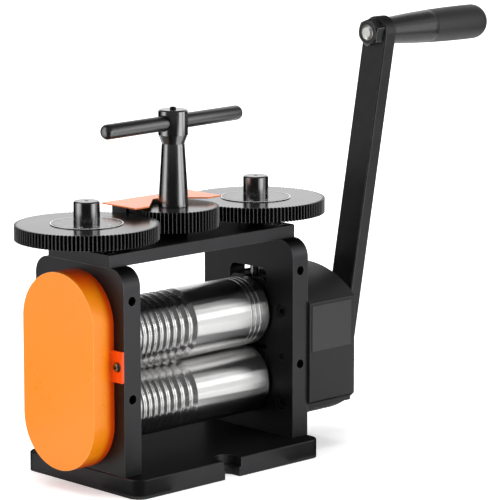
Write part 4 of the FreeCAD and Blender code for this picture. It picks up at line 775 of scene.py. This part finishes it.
for node, teeth, tooth_at, (low, high), (hub, hub_foot), bore in GEARS:
    centre = upright_axis(node)
    ring = (teeth / 2 + TOOTH_SHAPE[-1]) * MODULE - RIM_STOCK
    body = lathe(node + "_body", [(low, ring), (low, hub), (hub_foot, hub), (hub_foot, bore),
                                  (high, bore), (high, ring)],
                 centre, axis="z", steps=2 * len(TOOTH_SHAPE) * teeth, closed=True)
    rim = toothed_rim(node + "_rim", teeth, math.radians(tooth_at), centre, low, high)
    gear = join([body, rim], node + "_cut")
    for level in (low, high):
        pick(gear, lambda point: abs(point.z - level) < NEAR and
             math.hypot(point.x - centre.x / MM, point.y) > ring - NEAR, "EDGE")
        bpy.ops.mesh.bridge_edge_loops()
        leave_edit()
    edit_all()
    bpy.ops.mesh.normals_make_consistent(inside=False)
    leave_edit()
    round_edges(gear, GEAR_EDGE, GEAR_EDGE_ANGLE)
    gap_shaded = dark_gaps(node + "_black", centre, (teeth / 2 + TOOTH_SHAPE[0]) * MODULE, high)
    stand_for(gear, gap_shaded, node)
    print(gear.name, len(gear.data.polygons), "faces")

# %% [markdown]
# ## Rolls
# The two rolls do the work: the right half is plain for sheet, the left half has V grooves for
# wire, and the upper roll has three half-round grooves at its right end. They are turned with
# many steps because they are polished and show every facet. Each V groove keeps a narrow broken
# lip and the round root that the nose of a real cutter leaves.

# %% Rolls
ROLL_RADIUS = 22.3
ROLL_HALF = 63.5
ROLL_END = 1.2
ROLL_END_SHARES = (0.3, 0.4)    # of that chamfer, where it is rounded
JOURNAL_RADIUS = 12.0
SEAT_RADIUS = 10.0
SEAT_EDGE = 0.4
PLATE_OUT = 78.75
GROOVES = 11
FIRST_GROOVE = 6.4
GROOVE_RATIO = 0.91
LAND = 1.0
LIP = 0.12
ROOT_RADIUS = (1.2, 0.125)  # radius at the root: a fixed part and a share of the width
RING_PLACES = (55.4, 51.6, 47.8)
RING_RADIUS = 0.8


def wire_grooves():
    """V grooves from the middle of the barrel towards the left end."""
    spots, right, width = [], 0.0, FIRST_GROOVE
    for _ in range(GROOVES):
        root, left = right - width / 2, right - width
        nose = ROOT_RADIUS[0] + ROOT_RADIUS[1] * width
        middle = ROLL_RADIUS - width / 2 + nose * math.sqrt(2)
        spots += [(right + LIP, ROLL_RADIUS), (right - LIP, ROLL_RADIUS - LIP)]
        for turn in arc(45, -45):
            spots.append((root + nose * math.sin(turn), middle - nose * math.cos(turn)))
        spots += [(left + LIP, ROLL_RADIUS - LIP), (left - LIP, ROLL_RADIUS)]
        right -= width + LAND
        width *= GROOVE_RATIO
    return spots


def ring_grooves():
    """Half-round grooves near the right end of the upper roll."""
    return [(place + RING_RADIUS * math.cos(turn), ROLL_RADIUS - RING_RADIUS * math.sin(turn))
            for place in RING_PLACES for turn in arc(0, 180)]


def roll_profile(right_end, left_end, rings):
    """Whole outline of a roll from its right end to its left end."""
    along, inwards = (share * ROLL_END for share in ROLL_END_SHARES)
    edge = [(ROLL_HALF, JOURNAL_RADIUS), (ROLL_HALF, ROLL_RADIUS - ROLL_END),
            (ROLL_HALF - along, ROLL_RADIUS - inwards), (ROLL_HALF - ROLL_END, ROLL_RADIUS)]
    spots = [(min(right_end, PLATE_OUT), JOURNAL_RADIUS)] + edge + rings + wire_grooves()
    spots += [(-place, radius) for place, radius in edge[::-1]]
    spots += [(-PLATE_OUT, JOURNAL_RADIUS), (-PLATE_OUT, SEAT_RADIUS),
              (left_end + SEAT_EDGE, SEAT_RADIUS), (left_end, SEAT_RADIUS - SEAT_EDGE)]
    if right_end > PLATE_OUT + SEAT_EDGE:
        spots = [(right_end, SEAT_RADIUS - SEAT_EDGE), (right_end - SEAT_EDGE, SEAT_RADIUS),
                 (PLATE_OUT, SEAT_RADIUS)] + spots
    return spots


for name, rings in (("lower_roll", []), ("upper_roll", ring_grooves())):
    low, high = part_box(name)
    axis = Vector((0, 0, (low.z + high.z) / 2))
    roll = lathe(name + "_turned", roll_profile(high.x / MM, low.x / MM, rings), axis, steps=192)
    stand_for(roll, roll_steel, name)
    print(roll.name, len(roll.data.polygons), "faces")

# %% [markdown]
# ## Adjusting screws
# Two screws press the upper roll down. Above the dial gear each ends in a plain black spindle
# with a chamfered top. The thread between plate and hub is turned as rings at its real pitch,
# since only a few turns can ever be seen.

# %% Adjusting screws
BUTTON, BUTTON_EDGE = (6.0, 3.0), 0.3       # radius and height, and its broken edge
NECK_RADIUS, NECK_TOP = 3.55, 121.0
THREAD_PITCH = 1.5
THREAD_TOP, THREAD_ROOT = 5.0, 4.1
THREAD_CREST = (0.5, 0.65)      # shares of the pitch where the crest begins and ends
THREAD_FOOT, THREAD_GAP = 121.2, 0.2
HUB_FOOT = 150.9
SPINDLE_RADIUS = 8.2
SPINDLE_TOP = [(0.85, 0.0), (0.5, 0.18), (0.15, 0.5), (0.0, 0.75)]  # down and inwards
CENTRE_DRILL = [(0.0, 1.3), (1.0, 0.3)]     # depth and radius


def thread_rings(low, high):
    """Ridges of a thread between two heights."""
    spots = []
    place = low
    while place + THREAD_PITCH <= high:
        spots.append((place, THREAD_ROOT))
        spots += [(place + share * THREAD_PITCH, THREAD_TOP) for share in THREAD_CREST]
        place += THREAD_PITCH
    return spots + [(place, THREAD_ROOT)]


for side in ("left", "right"):
    name = side + "_adjusting_screw"
    foot, tip = (corner.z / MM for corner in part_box(name))
    profile = [(foot, BUTTON[0] - BUTTON_EDGE), (foot + BUTTON_EDGE, BUTTON[0]),
               (foot + BUTTON[1], BUTTON[0]), (foot + BUTTON[1], NECK_RADIUS),
               (NECK_TOP, NECK_RADIUS)]
    profile += thread_rings(THREAD_FOOT, HUB_FOOT - THREAD_GAP)
    profile.append((HUB_FOOT, SPINDLE_RADIUS))
    profile += [(tip - down, SPINDLE_RADIUS - inwards) for down, inwards in SPINDLE_TOP]
    profile += [(tip - down, radius) for down, radius in CENTRE_DRILL]
    screw = lathe(name + "_turned", profile, upright_axis(name), axis="z", steps=96)
    stand_for(screw, handle_black, name)
    print(screw.name, "from", round(foot, 1), "to", round(tip, 1), "mm")

# %% [markdown]
# ## Dials
# Each dial gear carries a disc on its top face: dark metal with a pale ring at its rim, fine
# divisions and plain numbers. Paint lies on metal as a thin skin, so ring, divisions and
# numbers are shapes two hundredths of a millimetre thick rather than a drawing in the shader.

# %% Dials
DISC_RADIUS = 22.8
DISC_FOOT, DISC_FACE = 164.2, 164.68
DISC_RIM = [    # in from the radius and down from the face
    (0.0, 0.15), (0.15, 0.0), (1.25, 0.0), (1.35, 0.15), (1.55, 0.15), (1.65, 0.0)]
DISC_BORE, DISC_BORE_EDGE = 8.3, 0.2
PAINT = 0.02
RING = (0.75, 0.15)         # in from the radius
DIVISIONS, NUMBER_EVERY = 50, 5
MARK_LONG, MARK_SHORT, MARK_WIDE, MARK_INSET = 2.6, 1.5, 0.22, 1.7
NUMBER_SIZE, NUMBER_INSET = 2.8, 6.4


def on_dial(centre, inset, turn):
    """A place on the dial's face, in the middle of the paint."""
    reach = (DISC_RADIUS - inset) * MM
    return Vector((centre.x + reach * math.cos(turn), reach * math.sin(turn),
                   (DISC_FACE + PAINT / 2) * MM))


def dial_marks(name, centre):
    """Divisions and plain numbers on a dial."""
    marks = []
    for i in range(DIVISIONS):
        turn = 2 * math.pi * i / DIVISIONS
        numbered = i % NUMBER_EVERY == 0
        long = MARK_LONG if numbered else MARK_SHORT
        deselect()
        bpy.ops.mesh.primitive_cube_add(
            size=1, location=on_dial(centre, MARK_INSET + long / 2, turn),
            rotation=(0, 0, turn), scale=(long * MM, MARK_WIDE * MM, PAINT * MM))
        marks.append(bpy.context.object)
        if numbered:
            deselect()
            bpy.ops.object.text_add(location=(0, 0, 0))
            words = bpy.context.object
            words.data.body = str(i)
            words.data.size = NUMBER_SIZE * MM
            words.data.align_x = "CENTER"
            words.data.align_y = "CENTER"
            words.data.extrude = PAINT / 2 * MM
            words.data.resolution_u = 3
            bpy.ops.object.convert(target="MESH")
            words.location = on_dial(centre, NUMBER_INSET, turn)
            words.rotation_euler = (0, 0, turn + math.pi / 2)
            marks.append(words)
    whole = join(marks, name)
    bpy.ops.object.transform_apply()
    return whole


for side in ("left", "right"):
    centre = upright_axis(side + "_dial_disc")
    body = side + "_adjuster"
    outline = [(DISC_FOOT, DISC_BORE), (DISC_FOOT, DISC_RADIUS)]
    outline += [(DISC_FACE - down, DISC_RADIUS - inwards) for inwards, down in DISC_RIM]
    outline += [(DISC_FACE, DISC_BORE + DISC_BORE_EDGE), (DISC_FACE - DISC_BORE_EDGE, DISC_BORE),
                (DISC_FOOT, DISC_BORE)]
    disc = lathe(side + "_dial_face", outline, centre, axis="z", closed=True)
    attach(disc, dial_black, body, [side + "_dial_disc"])
    inner, outer = (DISC_RADIUS - inset for inset in RING)
    skin = DISC_FACE + PAINT
    ring = lathe(side + "_dial_ring", [(DISC_FACE, inner), (DISC_FACE, outer), (skin, outer),
                                       (skin, inner), (DISC_FACE, inner)],
                 centre, axis="z", closed=True)
    attach(ring, ring_paint, body)
    marks = dial_marks(side + "_dial_marks", centre)
    attach(marks, mark_paint, body)
    print(side, "dial:", len(marks.data.polygons), "faces in the marks")

# %% [markdown]
# ## Handle
# A tapering stem rises from the centre gear to a wider head with a cross hole for the bar.
# The stem is turned, and the cross hole and the set screw's hole are cut with booleans, as a
# drill would. The bar is turned too and lies in the cross hole.

# %% Handle
STEM_FOOT, STEM_TOP = 166.9, 206.7
HEAD_FOOT, HEAD_TOP = 212.3, 228.2
BORE, BORE_TOP = 5.05, 183.7
STEM = [(BORE_TOP, BORE), (STEM_FOOT, BORE), (STEM_FOOT, 9.4), (STEM_FOOT + 0.3, 9.7),
        (STEM_TOP - 0.5, 7.34), (STEM_TOP, 7.25), (STEM_TOP + 0.4, 7.4)]
HEAD = [(HEAD_FOOT - 0.4, 9.3), (HEAD_FOOT, 9.45), (HEAD_TOP - 1.1, 9.45),
        (HEAD_TOP - 0.8, 9.38), (HEAD_TOP - 0.12, 8.72), (HEAD_TOP, 8.5)]
CROSS_DRILL = (5.15, 40.0)      # radius and length
TOP_DRILL, TOP_DRILL_AT = (2.1, 16.0), HEAD_TOP + 0.5
SMOOTH_STEM = 24.0      # degrees
BAR_HEIGHT = 220.0
BAR_TURN = math.radians(4.6)
BAR_HALF, BAR_RADIUS, BAR_ROUND = 62.4, 4.8, 3.5


def combine(piece, other, operation):
    """Unite a second piece with the first, or cut it out of the first."""
    activate(piece)
    change = piece.modifiers.new("change", "BOOLEAN")
    change.operation = operation
    change.solver = "EXACT"
    change.object = other
    bpy.ops.object.modifier_apply(modifier=change.name)
    bpy.data.objects.remove(other)


def drill(piece, radius, length, centre, rotation, steps=32):
    """Cut a round hole into a piece, with a tool placed by its middle."""
    deselect()
    bpy.ops.mesh.primitive_cylinder_add(vertices=steps, radius=radius * MM, depth=length * MM,
                                        location=centre, rotation=rotation)
    combine(piece, bpy.context.object, "DIFFERENCE")


stem = lathe("handle_stem_turned", STEM + HEAD, Vector((0, 0, 0)), axis="z")
drill(stem, *CROSS_DRILL, (0, 0, BAR_HEIGHT * MM), (0, math.pi / 2, BAR_TURN), 64)
drill(stem, *TOP_DRILL, (0, 0, TOP_DRILL_AT * MM), (0, 0, 0))
activate(stem)
bpy.ops.object.shade_smooth_by_angle(angle=math.radians(SMOOTH_STEM))
stand_for(stem, handle_black, "handle_stem")

low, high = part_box("handle_bar")
end = [(BAR_HALF - BAR_ROUND * (1 - math.cos(turn)), BAR_RADIUS - BAR_ROUND * (1 - math.sin(turn)))
       for turn in arc(0, 90)]
bar = lathe("handle_bar_turned", [(-place, size) for place, size in end] + end[::-1],
            Vector((0, 0, BAR_HEIGHT * MM)), steps=96)
bar.rotation_euler.z = BAR_TURN
activate(bar)
bpy.ops.object.transform_apply()
stand_for(bar, bar_black, "handle_bar")
print("handle: bar", [round(v / MM, 1) for v in high - low], "mm in the frame")

# %% [markdown]
# ## Gear cover
# The orange cover is a long rounded box with two tabs. A circle is stretched to an obround by
# lifting its upper half, then extruded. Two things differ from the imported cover: this one is a
# solid block, and the circle's half step turns it by 1.9 degrees about Z.

# %% Gear cover
COVER_HALF = 32.1
COVER_LOW, COVER_HIGH = 44.6, 104.8
COVER_DEEP = 17.5
COVER_EDGE, COVER_EDGE_ANGLE = 0.25, 50.0


def obround(name, x, radius, low, high, steps=96):
    """A flat long rounded outline across X, turned about Z by half a step of its circle."""
    deselect()
    bpy.ops.mesh.primitive_circle_add(vertices=steps, radius=radius * MM, fill_type="NGON",
                                      location=(x * MM, 0, low * MM),
                                      rotation=(0, math.pi / 2, math.pi / steps))
    piece = bpy.context.object
    piece.name = name
    bpy.ops.object.transform_apply()
    pick(piece, lambda c: c.z > low)
    bpy.ops.transform.translate(value=(0, 0, (high - low) * MM))
    leave_edit()
    return piece


cover = obround("gear_cover_shell", -PLATE_OUT, COVER_HALF, COVER_LOW, COVER_HIGH)
edit_all()
bpy.ops.mesh.extrude_region_move(TRANSFORM_OT_translate={"value": (-COVER_DEEP * MM, 0, 0)})
leave_edit()
print("cover block", len(cover.data.polygons), "faces")

# %% [markdown]
# The tabs are short plates beside the block. A union makes them one piece with it, and a drill
# makes the screw holes. All edges are broken at the end.

# %% Tabs of the gear cover
TAB_LOW, TAB_HIGH = 71.4, 91.0
TAB_OUTER = 41.4
TAB_THICK = 2.0
TAB_OVERLAP = 0.8
TAB_SCREW = (37.2, 81.2)
TAB_DRILL = (1.8, 8.0)


def block(name, low, high):
    """A box between two corners in millimetres."""
    low, high = Vector(low) * MM, Vector(high) * MM
    deselect()
    bpy.ops.mesh.primitive_cube_add(size=1, location=(low + high) / 2, scale=high - low)
    piece = bpy.context.object
    piece.name = name
    bpy.ops.object.transform_apply()
    return piece


for side in (-1, 1):
    inner, outer = sorted((side * (COVER_HALF - TAB_OVERLAP), side * TAB_OUTER))
    tab = block("tab", (-PLATE_OUT - TAB_THICK, inner, TAB_LOW), (-PLATE_OUT, outer, TAB_HIGH))
    combine(cover, tab, "UNION")
    middle = Vector((-PLATE_OUT - TAB_THICK / 2, side * TAB_SCREW[0], TAB_SCREW[1]))
    drill(cover, *TAB_DRILL, middle * MM, (0, math.pi / 2, 0))
round_edges(cover, COVER_EDGE, COVER_EDGE_ANGLE)
stand_for(cover, cover_enamel, "gear_cover")
print("cover with tabs", len(cover.data.polygons), "faces")

# %% [markdown]
# ## Crank
# The grip is a moulded handle that swells from the arm to its round end. Its outline is a list of
# stations along its axis, and a quarter circle closes the nose. The taper next to the arm is
# smoother than the rest. The bolt that carries the grip ends in the nut at the back of the arm
# and is bright where it was cut off.

# %% Grip and bolt
GRIP_LONG = 92.0
GRIP_NOSE = 10.0
GRIP_RADIUS = 11.44
GRIP_STATIONS = [(0.0, 8.2), (0.5, 8.5), (8.0, 9.05), (17.0, 9.68), (26.0, 10.2), (36.0, 10.66),
                 (39.4, 10.82), (39.6, 10.76), (40.2, 10.76), (40.4, 10.86), (58.0, 11.3),
                 (72.0, GRIP_RADIUS), (GRIP_LONG - GRIP_NOSE, GRIP_RADIUS)]
GRIP_BORE, GRIP_BORE_LONG = 4.85, 78.0
GRIP_MATT = (36.0, 43.0, 0.2)   # along the grip where it begins and is full, and how much
BOLT_RADIUS = 4.8
BOLT_END = [(0.0, 1.4), (0.12, 1.3), (0.8, 0.1)]        # along the bolt and inwards
BOLT_RIDGE = [(0.0, 0.0), (0.15, 0.0), (0.6, 0.5)]
RIDGES_FROM, RIDGE_PITCH, RIDGES = 1.0, 1.1, 6
BOLT_PLAIN, BOLT_EDGE = 8.0, 0.6

low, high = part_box("grip")
grip_axis = Vector((low.x, (low.y + high.y) / 2, (low.z + high.z) / 2))
nose = [(GRIP_LONG - GRIP_NOSE * (1 - math.sin(turn)),
         GRIP_RADIUS - GRIP_NOSE * (1 - math.cos(turn))) for turn in arc(0, 90, 12)[1:]]
grip = lathe("grip_moulded", [(GRIP_BORE_LONG, GRIP_BORE), (0.0, GRIP_BORE)] + GRIP_STATIONS + nose,
             grip_axis, steps=96)
stand_for(grip, grip_plastic, "grip")

tree = grip_plastic.node_tree
x, _, _ = place_on(tree)
start, stop = (grip_axis.x / MM + place for place in GRIP_MATT[:2])
matt = ramp(tree, x, start, stop, GRIP_MATT[2])
gloss = tree.nodes["Principled BSDF"].inputs["Roughness"]
tree.links.new(calculate(tree, "ADD", gloss.links[0].from_socket, matt), gloss)

low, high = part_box("grip_bolt")
bolt_axis = Vector((low.x, grip_axis.y, grip_axis.z))
long = (high.x - low.x) / MM
outline = [(place, BOLT_RADIUS - inwards) for place, inwards in BOLT_END]
for ridge in range(RIDGES):
    at = RIDGES_FROM + RIDGE_PITCH * ridge
    outline += [(at + place, BOLT_RADIUS - inwards) for place, inwards in BOLT_RIDGE]
outline += [(BOLT_PLAIN, BOLT_RADIUS), (long - BOLT_EDGE, BOLT_RADIUS),
            (long, BOLT_RADIUS - BOLT_EDGE)]
bolt = lathe("grip_bolt_turned", outline, bolt_axis, steps=64)
stand_for(bolt, bright_steel, "grip_bolt")
print("grip", len(grip.data.polygons), "bolt", len(bolt.data.polygons), "faces")

# %% [markdown]
# ## What stays as packed
# Bushes, washers, keys, dowels and the gears inside the gearbox and behind the cover have the
# right shape already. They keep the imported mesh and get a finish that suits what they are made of.

# %% Finishes for the carried-over nodes
inner_steel = finish("inner_steel", (0.34, 0.34, 0.35), 0.34, metallic=1.0, colour_swing=0.1,
                     bump=0.06, bump_reach=0.00002)
BRONZE = ("lower_bushes", "upper_bushes", "lower_thrust_washers", "upper_thrust_washers")
BLACKENED = ("gearbox_dowels", "crank_shaft")
kept = [name for name, packed in frame["nodes"].items() if not packed.hide_render]
for name in kept:
    mesh = frame["nodes"][name].data
    mesh.materials.clear()
    mesh.materials.append(bush_bronze if name in BRONZE else
                          screw_black if name in BLACKENED else inner_steel)
print(len(kept), "packed nodes kept:", ", ".join(sorted(kept)))

# %% [markdown]
# ## Sizes
# The size of the dressed model's outer box is printed.

# %% Sizes
low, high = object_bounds()
print("visual model:", [round(v / MM, 1) for v in high - low], "mm")
